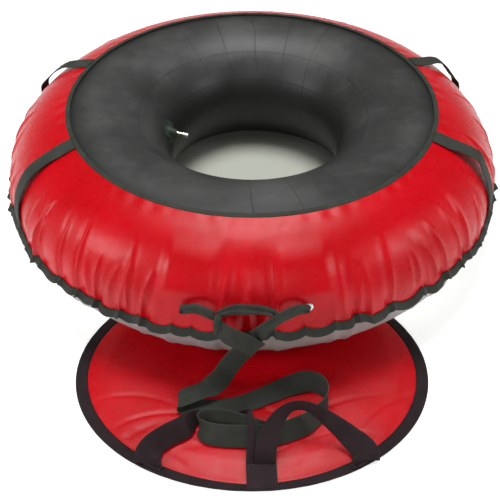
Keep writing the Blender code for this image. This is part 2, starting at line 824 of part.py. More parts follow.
def make_valve(finishes):
    """Rubber patch and boss, brass stem, core with its pin, and the cap with its seal."""
    stem = stem_frame()
    base = rod("valve_base", patch_radius, -patch_radius, patch_radius, patch_frame(), 24, bodies, finishes["rubber"])
    boolean(base, ring_solid("patch_face", tube_grow + patch_height), "INTERSECT")
    boss = rod("boss", boss_radius, -stem_inside, boss_length, stem, 20, tip=boss_tip_radius)
    boolean(base, boss, "UNION")
    boolean(base, ring_solid("patch_seat", tube_grow + touch_gap))
    bore = rod("base_bore", stem_radius + touch_gap, -2 * boss_length, 2 * boss_length, stem)
    boolean(base, bore)
    tip, rim = stem_length, stem_length - stem_tip_length
    profile = (
        (stem_radius, -stem_inside), (stem_bore, -stem_inside), (stem_bore, tip),
        (stem_tip_radius - cap_bead, tip), (stem_tip_radius, tip - cap_bead), (stem_tip_radius, rim),
        (stem_radius, rim - cap_bead),
    )
    turned("valve_stem", profile, finishes["brass"], stem)
    core_top = tip - core_recess
    core_radius = stem_bore - touch_gap
    core = (
        (core_radius, core_top - core_length), (pin_bore, core_top - core_length), (pin_bore, core_top),
        (core_radius * 0.7, core_top), (core_radius, core_top - core_radius * 0.3),
    )
    turned("valve_core", core, finishes["brass"], stem, facets=16)
    rod("valve_pin", pin_radius, core_top - pin_length + core_recess / 2, core_top + core_recess / 2, stem, 12, bodies,
        finishes["chrome"])
    mouth = tip - cap_cover
    ceiling = tip + touch_gap + seal_thickness + touch_gap
    end = mouth + cap_length
    cap = (
        (0.0, end), (cap_radius - cap_bead, end), (cap_radius, end - cap_bead), (cap_radius, mouth),
        (cap_bore, mouth), (cap_bore, ceiling), (0.0, ceiling),
    )
    turned("valve_cap", cap, finishes["chrome"], stem, facets=24)
    rod("valve_cap_seal", cap_bore - touch_gap, tip + touch_gap, tip + touch_gap + seal_thickness, stem, 16,
        bodies, finishes["rubber"])


def make_pad(finishes):
    """The seat pad: two cover sheets, foam between them, and webbing folded round their edges."""
    steps = [360.0 * k / pad_facets for k in range(pad_facets)]

    def oval(inset, height):
        return [pad_point(a, inset, height) for a in steps]

    def shrunk(share, height):
        inset = (1.0 - share) * pad_half_depth
        return oval(inset, height)

    loft("pad_bottom_cover", [oval(pad_edge_inset, pad_sole), oval(pad_edge_inset, pad_sole + pad_sheet)],
         finishes["grey"])
    foam = [oval(foam_inset, foam_base), oval(foam_inset, foam_base + foam_edge_height)]
    for share, height in pad_shape_shares[::-1]:
        foam.append(shrunk(share, foam_base + foam_height * height))
    loft("pad_foam", foam, finishes["foam"])
    seat_edge = foam_inset - pad_slip * 2
    drop = pad_sheet + touch_gap
    rows = [shrunk(share, foam_base + foam_height * height + drop) for share, height in pad_shape_shares]
    rows.append(oval(seat_edge, foam_base + foam_edge_height + drop))
    rows.append(oval(pad_binding_width + pad_slip, pad_top_edge + pad_sheet))
    rows.append(oval(pad_edge_inset, pad_top_edge + pad_sheet))
    bm = bmesh.new()
    made = grid(bm, rows)
    bm.faces.new(made[0])
    sheet = place("pad_top_cover", bm, finishes["red"])
    thicken(sheet, pad_sheet)
    sections = []
    middle = pad_sole + pad_sheet + touch_gap / 2
    for a in steps:
        edge = pad_point(a, pad_edge_inset - touch_gap, middle)
        inner = pad_point(a, pad_edge_inset + pad_binding_width, middle)
        beyond = (edge - inner).normalized()
        up = Vector((0.0, 0.0, 1.0))
        sections.append(folded_section(edge, beyond, up, pad_binding_width - pad_edge_inset, pad_binding_slot))
    loft("pad_binding", sections, finishes["trim"], closed=True)


def pad_height_at(inset):
    """Height of the pad's top cover at a distance in from its edge."""
    drop = pad_sheet + touch_gap
    spots = [(pad_binding_width + pad_slip, pad_top_edge + pad_sheet)]
    spots.append((foam_inset - pad_slip * 2, foam_base + foam_edge_height + drop))
    for share, height in pad_shape_shares[::-1]:
        spots.append(((1.0 - share) * pad_half_depth, foam_base + foam_height * height + drop))
    for (near, low), (far, high) in zip(spots, spots[1:]):
        if inset <= far:
            return low + (high - low) * (inset - near) / (far - near)
    return spots[-1][1]


hinge_y = pad_centre_y - pad_half_depth + pad_hinge_inset
sewn_z = pad_height_at(pad_hinge_inset) + touch_gap + webbing_thickness / 2
hinge_z = sewn_z + touch_gap / 3
binding_top = pad_sole + pad_sheet + touch_gap / 2 + pad_binding_slot / 2 + binding_leg


def pad_front_y(x):
    """Front edge of the pad's oval at x."""
    return pad_centre_y - pad_half_depth * math.sqrt(max(0.0, 1.0 - (x / pad_half_width) ** 2))


def make_pad_handles(finishes):
    """Two webbing loops that flop on the line of their sewn ends, and the three sewn ends."""
    wide = Vector((1.0, 0.0, 0.0))
    first, split, last = (pad_handle_centre_x + pad_handle_width * share for share in centre_end_shares)
    spans = {
        "left": (pad_handle_left_x, (first + split) / 2, left_loop_shares),
        "right": ((split + last) / 2 + touch_gap, pad_handle_right_x, right_loop_shares),
    }
    for side, (start, end, shares) in spans.items():
        centres, faces, widths = [], [], []
        for span, far, rise, facing, width in shares:
            a, t = math.radians(rise), math.radians(facing)
            along = Vector((0.0, math.cos(a), math.sin(a)))
            centres.append(Vector((start + (end - start) * span, hinge_y, hinge_z)) + along * loop_reach * far)
            faces.append(Vector((0.0, math.cos(t), math.sin(t))))
            widths.append(pad_handle_width * width)
        acrosses = [face.cross(b - a) for face, a, b in zip(faces, centres[:1] + centres, centres[1:] + centres[-1:])]
        for i in (0, -1):
            acrosses[i] = wide if acrosses[i].x > 0.0 else -wide
        webbing("pad_handle_" + side, centres, acrosses, widths, [webbing_thickness] * len(widths), finishes["trim"])
    low = binding_top + touch_gap + webbing_thickness / 2
    stop = hinge_y - pad_hinge_clearance
    for side, x in (("left", pad_handle_left_x), ("centre", pad_handle_centre_x), ("right", pad_handle_right_x)):
        front = pad_front_y(abs(x)) + pad_edge_inset
        if stop - front > pad_binding_width:
            rows = [(front, low), (front + pad_binding_width, low + touch_gap), (stop, sewn_z)]
        else:
            rows = [(min(front, stop - pad_binding_width * 0.6), low), (stop, sewn_z)]
        centres = [Vector((x, y, z)) for y, z in rows]
        count = len(centres)
        webbing(f"pad_handle_sewn_{side}", centres, [wide] * count, [pad_handle_width] * count,
                [webbing_thickness] * count, finishes["trim"])


def main():
    for thing in list(bpy.data.objects):
        bpy.data.objects.remove(thing, do_unlink=True)
    bpy.context.scene.collection.children.link(bodies)
    bpy.context.scene.collection.children.link(cutters)
    finishes = {
        "rubber": finish("black_rubber", (0.045, 0.046, 0.048), 0.55),
        "red": finish("red_coated_fabric", (0.62, 0.012, 0.02), 0.38),
        "grey": finish("grey_coated_fabric", (0.27, 0.25, 0.26), 0.6),
        "webbing": finish("green_black_webbing", (0.035, 0.042, 0.036), 0.85),
        "trim": finish("maroon_black_webbing", (0.04, 0.022, 0.025), 0.85),
        "chrome": finish("bright_nickel", (0.8, 0.8, 0.8), 0.2, 1.0),
        "brass": finish("nickelled_brass", (0.66, 0.62, 0.52), 0.3, 1.0),
        "foam": finish("white_foam", (0.75, 0.75, 0.72), 0.9),
    }
    make_tube(finishes)
    make_cover_top(finishes)
    make_cover_bottom(finishes)
    make_opening_binding(finishes)
    make_seam_binding(finishes)
    for name, azimuth in handle_azimuths.items():
        make_handle(name, azimuth, finishes)
    for side in grommet_places:
        make_grommet(side, finishes)
    make_bridle(finishes)
    strap_piece("tow_strap_drop", drop_route, finishes)
    strap_piece("tow_strap_lying", lying_route, finishes)
    make_valve(finishes)
    make_pad(finishes)
    make_pad_handles(finishes)


main()
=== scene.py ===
# Snow tube: rubber ring in a gathered red cover, webbing handles, tow strap and a soft seat pad.
import math
import random

import bpy
import numpy as np
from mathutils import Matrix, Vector


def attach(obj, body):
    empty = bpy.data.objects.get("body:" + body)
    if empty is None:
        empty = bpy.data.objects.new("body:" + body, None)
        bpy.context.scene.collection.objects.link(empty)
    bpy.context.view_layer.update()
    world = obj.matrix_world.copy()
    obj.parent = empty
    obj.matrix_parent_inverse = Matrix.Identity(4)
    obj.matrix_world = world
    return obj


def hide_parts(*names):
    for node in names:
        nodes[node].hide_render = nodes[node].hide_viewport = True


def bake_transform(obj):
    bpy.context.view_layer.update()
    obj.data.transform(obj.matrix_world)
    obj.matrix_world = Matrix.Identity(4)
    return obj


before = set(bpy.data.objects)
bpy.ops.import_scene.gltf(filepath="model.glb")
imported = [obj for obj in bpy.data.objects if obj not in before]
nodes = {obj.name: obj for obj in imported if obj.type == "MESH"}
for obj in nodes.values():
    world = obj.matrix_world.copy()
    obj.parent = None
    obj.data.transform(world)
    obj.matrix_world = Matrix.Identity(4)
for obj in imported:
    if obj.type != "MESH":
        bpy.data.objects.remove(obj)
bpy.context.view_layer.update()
print("frame loaded:", len(nodes), "nodes")


# camera, light and floor
camera = {
    "place": (0.0, -1.4375, 1.1789),
    "lookAt": (0.0, -0.256, 0.1),
    "lens": 59.98,
    "shift": -0.004,
}
studio = {
    # brightness of the surroundings by height: white round the horizon, dark above it, a pale ceiling
    "sky": ((0.0, 0.42), (0.12, 0.38), (0.34, 0.14), (0.70, 0.08), (1.0, 0.20)),
    "floorColour": (0.86, 0.86, 0.855),
    "floorGlow": 0.56,
    "floorHalf": 9.0,
    "lamps": {
        # name: place, aim, size, power
        "topBox": ((0.0, 0.2, 2.4), (0.0, 0.0, 0.0), 1.3, 44.0),
        "leftBox": ((-2.2, -1.1, 1.3), (-0.1, -0.3, 0.1), 0.8, 24.0),
        "rightBox": ((2.2, -0.9, 1.3), (0.1, -0.3, 0.1), 0.8, 15.0),
        "frontBox": ((0.1, -2.7, 1.9), (0.0, -0.4, 0.1), 0.7, 9.0),
    },
}


def aimAt(thing, target):
    thing.rotation_mode = "QUATERNION"
    thing.rotation_quaternion = (Vector(target) - thing.location).to_track_quat("-Z", "Y")


def makeCamera():
    lens = bpy.data.cameras.new("photoCamera")
    lens.lens = camera["lens"]
    lens.sensor_width = 36.0
    lens.shift_x = camera["shift"]
    eye = bpy.data.objects.new("photoCamera", lens)
    bpy.context.scene.collection.objects.link(eye)
    eye.location = camera["place"]
    aimAt(eye, camera["lookAt"])
    bpy.context.scene.camera = eye


class Wire:
    # One socket of a finish, so that shader sums read as Python.
    def __init__(self, finish, socket):
        self.finish = finish
        self.socket = socket

    def maths(self, operation, first, second=0.0):
        return self.finish.node("ShaderNodeMath", {"operation": operation}, {0: first, 1: second})

    def __add__(self, other):
        return self.maths("ADD", self, other)

    def __radd__(self, other):
        return self.maths("ADD", other, self)

    def __sub__(self, other):
        return self.maths("SUBTRACT", self, other)

    def __rsub__(self, other):
        return self.maths("SUBTRACT", other, self)

    def __mul__(self, other):
        return self.maths("MULTIPLY", self, other)

    def __rmul__(self, other):
        return self.maths("MULTIPLY", other, self)

    def __truediv__(self, other):
        return self.maths("DIVIDE", self, other)

    def __rtruediv__(self, other):
        return self.maths("DIVIDE", other, self)

    def __mod__(self, other):
        return self.maths("MODULO", self, other)

    def wave(self):
        return self.maths("SINE", self)

    def size(self):
        return self.maths("ABSOLUTE", self)

    def between(self, low, high):
        # 0 below low, 1 above high, smooth between them
        return self.finish.node(
            "ShaderNodeMapRange",
            {"interpolation_type": "SMOOTHSTEP"},
            {"Value": self, "From Min": low, "From Max": high, "To Min": 0.0, "To Max": 1.0},
        )


class Finish:
    # A material on the Principled shader, with its nodes made by one method.
    def __init__(self, name, **sockets):
        self.material = bpy.data.materials.new(name)
        self.material.use_nodes = True
        self.tree = self.material.node_tree
        self.shader = self.tree.nodes["Principled BSDF"]
        for socket, value in sockets.items():
            self.feed(socket.replace("_", " "), value)

    def feed(self, socket, value):
        if isinstance(value, Wire):
            self.tree.links.new(value.socket, self.shader.inputs[socket])
        else:
            self.shader.inputs[socket].default_value = value

    def node(self, kind, settings=None, sockets=None, output=0):
        made = self.tree.nodes.new(kind)
        for key, value in (settings or {}).items():
            setattr(made, key, value)
        for key, value in (sockets or {}).items():
            if isinstance(value, Wire):
                self.tree.links.new(value.socket, made.inputs[key])
            else:
                made.inputs[key].default_value = value
        return Wire(self, made.outputs[output])

    def place(self):
        return self.node("ShaderNodeTexCoord", output="Object")

    def part(self, spot, which):
        # one coordinate of a vector
        return self.node("ShaderNodeSeparateXYZ", None, {0: spot}, which)

    def alongAcross(self):
        spot = self.node("ShaderNodeUVMap", {"uv_map": "weave"})
        return self.part(spot, 0), self.part(spot, 1)

    def noise(self, scale, detail=2.0, roughness=0.5):
        return self.node(
            "ShaderNodeTexNoise", None,
            {"Vector": self.place(), "Scale": scale, "Detail": detail, "Roughness": roughness},
        )

    def mix(self, share, first, second):
        first = (*first, 1.0) if isinstance(first, tuple) else first
        second = (*second, 1.0) if isinstance(second, tuple) else second
        return self.node("ShaderNodeMix", {"data_type": "RGBA"}, {0: share, 6: first, 7: second}, 2)

    def bump(self, height, distance, strength=1.0, under=None):
        sockets = {"Strength": strength, "Distance": distance, "Height": height}
        if under:
            sockets["Normal"] = under
        return self.node("ShaderNodeBump", None, sockets)


def makeStudio():
    world = bpy.data.worlds.new("paleStudio")
    bpy.context.scene.world = world
    world.use_nodes = True
    tree = world.node_tree
    spot = tree.nodes.new("ShaderNodeTexCoord")
    height = tree.nodes.new("ShaderNodeSeparateXYZ")
    ramp = tree.nodes.new("ShaderNodeValToRGB")
    stops = ramp.color_ramp.elements
    while len(stops) < len(studio["sky"]):
        stops.new(0.5)
    for stop, (place, grey) in zip(stops, studio["sky"]):
        stop.position = place
        stop.color = (grey, grey, grey, 1.0)
    tree.links.new(spot.outputs["Generated"], height.inputs[0])
    tree.links.new(height.outputs[2], ramp.inputs[0])
    tree.links.new(ramp.outputs[0], tree.nodes["Background"].inputs["Color"])
    for name, (place, aim, size, power) in studio["lamps"].items():
        lamp = bpy.data.lights.new(name, "AREA")
        lamp.shape = "DISK"
        lamp.size = size
        lamp.energy = power
        box = bpy.data.objects.new(name, lamp)
        bpy.context.scene.collection.objects.link(box)
        box.location = place
        aimAt(box, aim)
    half = studio["floorHalf"]
    mesh = bpy.data.meshes.new("floor")
    mesh.from_pydata([(-half, -half, 0), (half, -half, 0), (half, half, 0), (-half, half, 0)], [], [(0, 1, 2, 3)])
    floor = bpy.data.objects.new("floor", mesh)
    bpy.context.scene.collection.objects.link(floor)
    paper = Finish("palePaper", Roughness=0.6, Specular_IOR_Level=0.1, Emission_Color=(1.0, 1.0, 1.0, 1.0),
                   Emission_Strength=studio["floorGlow"])
    cloud = paper.noise(3.0, 2.0)
    pale = studio["floorColour"]
    paper.feed("Base Color", paper.mix(cloud, pale, tuple(c * 0.985 for c in pale)))
    mesh.materials.append(paper.material)
    bpy.context.scene.view_settings.view_transform = "Standard"


makeCamera()
makeStudio()
print("camera and studio ready")


# mesh helpers
def loopMesh(name, rows, finish, wrapRows=True, wrapCols=True, along=None, across=None, caps=False):
    # rows is an array (row, column, xyz); along and across give the weave map in metres
    rows = np.asarray(rows, float)
    r, c = rows.shape[:2]
    mesh = bpy.data.meshes.new(name)
    iCount = r if wrapRows else r - 1
    jCount = c if wrapCols else c - 1
    i, j = np.meshgrid(np.arange(iCount), np.arange(jCount), indexing="ij")
    i, j = i.ravel(), j.ravel()
    nextI, nextJ = (i + 1) % r, (j + 1) % c
    faces = np.stack([i * c + j, i * c + nextJ, nextI * c + nextJ, nextI * c + j], 1)
    faceList = faces.tolist()
    if caps:
        faceList.append([k * c for k in range(r)])
        faceList.append([k * c + c - 1 for k in range(r)][::-1])
    mesh.from_pydata(rows.reshape(-1, 3).tolist(), [], faceList)
    if along is not None:
        layer = mesh.uv_layers.new(name="weave")
        values = np.zeros((len(mesh.loops), 2), np.float32)
        u = np.stack([along[j], along[j + 1], along[j + 1], along[j]], 1)
        v = np.stack([across[i], across[i], across[i + 1], across[i + 1]], 1)
        values[: len(faces) * 4, 0] = u.ravel()
        values[: len(faces) * 4, 1] = v.ravel()
        layer.data.foreach_set("uv", values.ravel())
    mesh.validate()
    mesh.shade_smooth()
    piece = bpy.data.objects.new(name, mesh)
    bpy.context.scene.collection.objects.link(piece)
    mesh.materials.append(finish.material)
    outward(piece)
    return piece


def outward(piece):
    # turns the faces of a closed mesh outwards by the sign of its volume
    mesh = piece.data
    mesh.calc_loop_triangles()
    spots = np.zeros(len(mesh.vertices) * 3)
    mesh.vertices.foreach_get("co", spots)
    spots = spots.reshape(-1, 3)
    corners = np.zeros(len(mesh.loop_triangles) * 3, int)
    mesh.loop_triangles.foreach_get("vertices", corners)
    a, b, c = (spots[corners.reshape(-1, 3)[:, k]] for k in range(3))
    if np.einsum("ij,ij->i", a, np.cross(b, c)).sum() < 0:
        mesh.flip_normals()


def smoothRows(rows, steps):
    rows = np.asarray(rows, float)
    out = []
    last = len(rows) - 1
    for k in range(last):
        a, b, c, d = rows[max(k - 1, 0)], rows[k], rows[k + 1], rows[min(k + 2, last)]
        m1, m2 = (c - a) / 2, (d - b) / 2
        for s in range(steps):
            t = s / steps
            out.append(
                (2 * t**3 - 3 * t**2 + 1) * b + (t**3 - 2 * t**2 + t) * m1
                + (3 * t**2 - 2 * t**3) * c + (t**3 - t**2) * m2
            )
    out.append(rows[last])
    return np.array(out)


def unit(v):
    return v / np.maximum(np.linalg.norm(v, axis=-1, keepdims=True), 1e-12)


def smoothStep(x, low, high):
    t = np.clip((x - low) / (high - low), 0.0, 1.0)
    return t * t * (3 - 2 * t)


def apart(a, b):
    return np.abs((a - b + 180.0) % 360.0 - 180.0)


def turns(count):
    # places round a circle, in degrees
    return np.arange(count) * 360.0 / count


tapeSide = [(-1, -0.35), (-0.99, -0.8), (-0.96, -1), (-0.65, -1), (-0.33, -1), (0, -1), (0.33, -1), (0.65, -1),
            (0.96, -1), (0.99, -0.8), (1, -0.35)]
tapeSection = np.array(tapeSide + [(-s, -t) for s, t in tapeSide])


def ribbon(name, finish, centres, acrosses, widths, thicknesses, section=None, ripple=None):
    # a flat webbing along points; its rounded section is laid square to its run
    centres, acrosses = np.asarray(centres, float), np.asarray(acrosses, float)
    widths, thicknesses = np.asarray(widths, float), np.asarray(thicknesses, float)
    count = len(centres)
    run = unit(np.gradient(centres, axis=0))
    across = unit(acrosses - run * np.einsum("ij,ij->i", acrosses, run)[:, None])
    across[0], across[-1] = unit(acrosses[0]), unit(acrosses[-1])
    out = unit(np.cross(across, run))
    shape = tapeSection if section is None else section
    s, t = shape[:, 0], shape[:, 1]
    offset = s[:, None, None] * across[None] * widths[None, :, None] / 2
    thick = t[:, None] * thicknesses[None, :] / 2
    if ripple is not None:
        thick = thick + ripple(s[:, None], np.arange(count)[None, :] / (count - 1))
    rows = centres[None] + offset + out[None] * thick[:, :, None]
    length = np.concatenate([[0], np.cumsum(np.linalg.norm(np.diff(centres, axis=0), axis=1))])
    acrossMap = np.concatenate([s, s[:1]]) * widths.mean() / 2
    return loopMesh(name, rows, finish, wrapCols=False, along=length, across=acrossMap, caps=True)


# finishes
def redVinyl(name, grain=1.0):
    look = {"red": (0.58, 0.0015, 0.0085), "deep": (0.49, 0.0008, 0.0045), "pale": (0.63, 0.008, 0.020)}
    vinyl = Finish(name, Specular_IOR_Level=0.24)
    cloud = vinyl.noise(9.0, 3.0).between(0.30, 0.72)
    fine = vinyl.noise(900.0, 2.0, 0.6)
    cell = vinyl.node("ShaderNodeTexVoronoi", {"feature": "DISTANCE_TO_EDGE"},
                      {"Vector": vinyl.place(), "Scale": 620.0})
    base = vinyl.mix(cloud, look["deep"], look["red"])
    base = vinyl.mix(vinyl.noise(34.0, 3.0).between(0.62, 0.90) * 0.35, base, look["pale"])
    vinyl.feed("Base Color", base)
    scuff = vinyl.noise(60.0, 4.0, 0.62).between(0.35, 0.75)
    vinyl.feed("Roughness", 0.25 + scuff * 0.09 + fine * 0.03)
    crease = vinyl.noise(26.0, 3.0, 0.55)
    grainBump = vinyl.bump(cell.between(0.0, 0.12) + fine * 0.5, 0.00006 * grain, 0.6)
    vinyl.feed("Normal", vinyl.bump(crease, 0.0016, 0.35, grainBump))
    return vinyl


def greyVinyl(name):
    # "seat" is a paler, lit copy of the grey fabric: painted light, not a colour of its own
    look = {"grey": (0.330, 0.310, 0.320), "light": (0.400, 0.395, 0.375), "seat": (0.62, 0.64, 0.56)}
    vinyl = Finish(name, Specular_IOR_Level=0.4)
    cloud = vinyl.noise(7.0, 3.0).between(0.3, 0.7)
    outside = vinyl.mix(cloud, look["grey"], look["light"])
    # painted light: everything lower than 24 mm, the seat among it, takes the pale "seat" colour for the light falling
    # on the seat; above 40 mm the fabric keeps its own grey
    high = vinyl.part(vinyl.place(), 2).between(0.024, 0.040)
    vinyl.feed("Base Color", vinyl.mix(high, look["seat"], outside))
    fine = vinyl.noise(800.0, 2.0, 0.6)
    vinyl.feed("Roughness", 0.50 + vinyl.noise(45.0, 3.0) * 0.14)
    threads = (vinyl.part(vinyl.place(), 0) * 3900.0).wave() * (vinyl.part(vinyl.place(), 1) * 3900.0).wave()
    first = vinyl.bump(threads * 0.3 + fine, 0.00005, 0.6)
    vinyl.feed("Normal", vinyl.bump(vinyl.noise(30.0, 3.0), 0.0018, 0.35, first))
    return vinyl


def webbingFinish(name, dark, light, width=0.038, stitched=0.0):
    # plain weave: ribs across the run, broken by warp yarns along it, paler on the edges
    tape = Finish(name, Specular_IOR_Level=0.18, Sheen_Weight=0.03, Sheen_Roughness=0.45)
    along, across = tape.alongAcross()
    ribs = (along * (2 * math.pi / 0.0021)).wave()
    yarns = (across * (2 * math.pi / 0.0016)).wave()
    weave = (ribs * yarns) * 0.5 + 0.5
    twill = ((along + across * 0.8) * (2 * math.pi / 0.0042)).wave() * 0.5 + 0.5
    edge = (across.size() / (width / 2)).between(0.90, 1.0)
    cloud = tape.noise(38.0, 3.0).between(0.25, 0.75)
    fluff = tape.noise(1300.0, 2.0, 0.65)
    share = weave * 0.35 + twill * 0.15 + cloud * 0.30 + edge * 0.30
    tape.feed("Base Color", tape.mix(share, dark, light))
    tape.feed("Roughness", 0.62 + fluff * 0.18)
    height = weave * 0.7 + twill * 0.3 + fluff * 0.35
    if stitched:
        row = 1.0 - ((across.size() - stitched).size() / 0.0006).between(0.5, 1.0)
        dash = ((along * (2 * math.pi / 0.0044)).wave()).between(-0.5, -0.1)
        height = height + row * dash * 1.6
    tape.feed("Normal", tape.bump(height, 0.00022, 0.7))
    return tape


def rubberFinish():
    look = {"black": (0.0125, 0.0140, 0.0120), "bloomAndHighlight": (0.088, 0.090, 0.086)}
    rubber = Finish("innerTubeRubber", Specular_IOR_Level=0.38)
    around, angle = rubber.alongAcross()  # here in degrees round the ring and round the section
    wobble = rubber.noise(4.0, 2.0)
    shifted = around + wobble * 6.0 + angle * 0.05
    spoke = ((shifted / 15.0) % 1.0 - 0.5).size() * 15.0   # degrees from the nearest mould line
    spoke = 1.0 - spoke.between(0.05, 0.26)
    hidden = rubber.noise(2.6, 1.0).between(0.38, 0.52)
    rings = 1.0 - ((angle - 128.0).size()).between(0.15, 0.45)
    rings = rings + (1.0 - ((angle - 154.0).size()).between(0.15, 0.55))
    lines = spoke * hidden * 0.8 + rings * 0.7
    bloomAndHighlight = rubber.noise(5.5, 4.0, 0.6).between(0.35, 0.75)
    dust = rubber.noise(60.0, 4.0, 0.7).between(0.45, 0.85)
    # painted highlight: over the crest and the upper inner slope (section angles about 74° to 150°) the rubber takes
    # the paler colour, partly real bloom and dust mottling, partly painted light on the lit top; elsewhere it keeps
    # its black
    crest = angle.between(74.0, 94.0) * (1.0 - angle.between(122.0, 172.0))
    base = rubber.mix((bloomAndHighlight * 0.6 + dust * 0.2 + 0.2) * crest, look["black"], look["bloomAndHighlight"])
    rubber.feed("Base Color", rubber.mix(lines * 0.75, base, (0.009, 0.010, 0.009)))
    rubber.feed("Roughness", 0.42 + bloomAndHighlight * 0.10 + dust * 0.07)
    fine = rubber.noise(700.0, 2.0, 0.6)
    first = rubber.bump(fine, 0.00003, 0.5)
    swell = rubber.bump(rubber.noise(7.0, 2.0), 0.004, 0.25, first)
    rubber.feed("Normal", rubber.bump(1.0 - lines, 0.0004, 0.8, swell))
    return rubber


def plainRubber(name, colour):
    rubber = Finish(name)
    cloud = rubber.noise(80.0, 3.0).between(0.3, 0.7)
    rubber.feed("Base Color", rubber.mix(cloud, colour, tuple(c * 1.5 for c in colour)))
    rubber.feed("Roughness", 0.45 + cloud * 0.12)
    rubber.feed("Normal", rubber.bump(rubber.noise(900.0, 2.0), 0.00003, 0.5))
    return rubber


def metalFinish(name, colour, rough):
    metal = Finish(name, Metallic=1.0)
    wear = metal.noise(240.0, 4.0, 0.6).between(0.35, 0.8)
    metal.feed("Base Color", metal.mix(wear * 0.5, colour, tuple(c * 0.72 for c in colour)))
    metal.feed("Roughness", rough + wear * 0.14)
    metal.feed("Normal", metal.bump(metal.noise(500.0, 2.0), 0.00003, 0.35))
    return metal


greenDark, greenLight = (0.0180, 0.0205, 0.0160), (0.0640, 0.0690, 0.0560)
maroonDark, maroonLight = (0.0130, 0.0070, 0.0085), (0.0420, 0.0240, 0.0280)
finishes = {
    "cover": redVinyl("redCoatedFabric"),
    "padRed": redVinyl("redPadFabric", grain=1.3),
    "grey": greyVinyl("greyCoatedFabric"),
    "strap": webbingFinish("greenBlackWebbing", greenDark, greenLight),
    "handle": webbingFinish("handleWebbing", greenDark, greenLight, 0.034, stitched=0.0140),
    "binding": webbingFinish("bindingWebbing", greenDark, greenLight, 0.034, stitched=0.0115),
    "trim": webbingFinish("maroonBlackWebbing", maroonDark, maroonLight, 0.050),
    "padTrim": webbingFinish("padBindingWebbing", (0.0100, 0.0058, 0.0068), (0.0350, 0.0200, 0.0235), 0.034,
                             stitched=0.0125),
    "rubber": rubberFinish(),
    "patch": plainRubber("valvePatchRubber", (0.020, 0.028, 0.020)),
    "nickel": metalFinish("brightNickel", (0.62, 0.62, 0.60), 0.24),
    "brass": metalFinish("valveBrass", (0.72, 0.62, 0.42), 0.24),
}
print("finishes ready:", len(finishes))


# the ring's section, shared by what lies on it
ring = {
    "radius": 0.330,
    "halfWidth": 0.166,
    "halfHeight": 0.140,
    "rimAngle": 79.0,
    "rimLift": 0.0012,
    "seamDrop": 0.009,
    "seamAngle": -3.7,
    "lobes": 62,
    "lobeDrop": 0.0054,
    "skirtDrop": 0.014,
    "skirtFlare": 0.009,
}
handles = {"right_front": -21.5, "right_back": 22.8, "left_back": 158.5, "left_front": -154.6}
grommets = {"left": (-103.0, 13.5), "right": (-79.1, 15.5)}
grommetLift = 0.0055
# section angles of the flat round the grommets, and how deep the cover lies under it
facet = {"low": -3.686, "high": 24.0, "sink": 0.0003}


def onCover(azimuth, angle, grow=0.0):
    # points over the cover's section; all three may be arrays
    a, t = np.radians(angle), np.radians(azimuth)
    radius = ring["radius"] + (ring["halfWidth"] + grow) * np.cos(a)
    height = ring["halfHeight"] + (ring["halfHeight"] + grow) * np.sin(a)
    return np.stack(np.broadcast_arrays(radius * np.cos(t), radius * np.sin(t), height), -1)


def seamRadius(height, grow=0.0):
    share = (height - ring["halfHeight"]) / (ring["halfHeight"] + grow)
    return ring["radius"] + (ring["halfWidth"] + grow) * np.sqrt(np.maximum(0.0, 1.0 - share * share))


def calm(azimuth, reach=5.8, edge=2.6):
    # 0 beside handles and grommets, where the cover lies flat, 1 elsewhere
    share = np.ones_like(azimuth)
    for place in handles.values():
        share = share * smoothStep(apart(azimuth, place), reach - edge, reach + edge)
    return share


def grommetShare(azimuth):
    share = np.zeros_like(azimuth)
    for place, _ in grommets.values():
        share = np.maximum(share, 1.0 - smoothStep(apart(azimuth, place), 4.2, 7.2))
    return share


pleats = {
    "seed": 7,
    "height": 0.0088,      # of the sharp folds at the seam
    "valley": 0.0052,      # beside each fold
    "puff": 0.0056,        # of the rounded cloth between the places where the seam is drawn up
    "reach": (28.0, 62.0), # section angles where the folds have died out
}
# how much higher the seam runs than at the back, by azimuth
seamRise = {
    "azimuths": (-180.0, -135.0, -120.0, -108.0, -98.0, -90.0, -80.0, -65.0, -45.0, -35.0, -25.0, 180.0),
    "rises": (0.0, 0.0, 0.0015, 0.006, 0.009, 0.0100, 0.0115, 0.0115, 0.0100, 0.0055, 0.001, 0.0),
}


def drawnUp():
    # azimuths where the seam's elastic draws the cover up, at uneven distances
    draw = random.Random(19)
    steps = np.array([draw.uniform(0.66, 1.36) for _ in range(ring["lobes"])])
    return np.concatenate([[0.0], np.cumsum(steps)]) * 360.0 / steps.sum()


lobeEdges = drawnUp()


def lobeWave(azimuth):
    # 0 where the seam is drawn up, 1 in the middle of a lobe, less in the short ones
    spot = np.interp(azimuth % 360.0, lobeEdges, np.arange(len(lobeEdges)))
    which = np.clip(spot.astype(int), 0, ring["lobes"] - 1)
    size = np.clip(np.diff(lobeEdges)[which] * ring["lobes"] / 360.0, 0.7, 1.2)
    return np.abs(np.sin(np.pi * (spot - which))) ** 0.62 * size


def pleatTable():
    draw = random.Random(pleats["seed"])
    table = []
    for k, place in enumerate(lobeEdges[:-1]):
        spots = [(place + draw.uniform(-0.3, 0.3), draw.uniform(0.6, 1.15), -6.0)]
        if draw.random() < 0.6:
            inner = place + draw.uniform(0.3, 0.7) * (lobeEdges[k + 1] - place)
            spots.append((inner, draw.uniform(0.2, 0.7), draw.choice((-6.0, 4.0, 12.0))))
        for spot, size, start in spots:
            table.append({
                "place": spot, "start": start, "height": pleats["height"] * size,
                "width": draw.uniform(0.38, 0.68), "reach": draw.uniform(*pleats["reach"]),
                "lean": draw.uniform(-2.6, 2.6), "side": draw.choice((-1.0, 1.0)),
                "valley": pleats["valley"] * draw.uniform(0.4, 1.0),
            })
    return table


coverFolds = pleatTable()


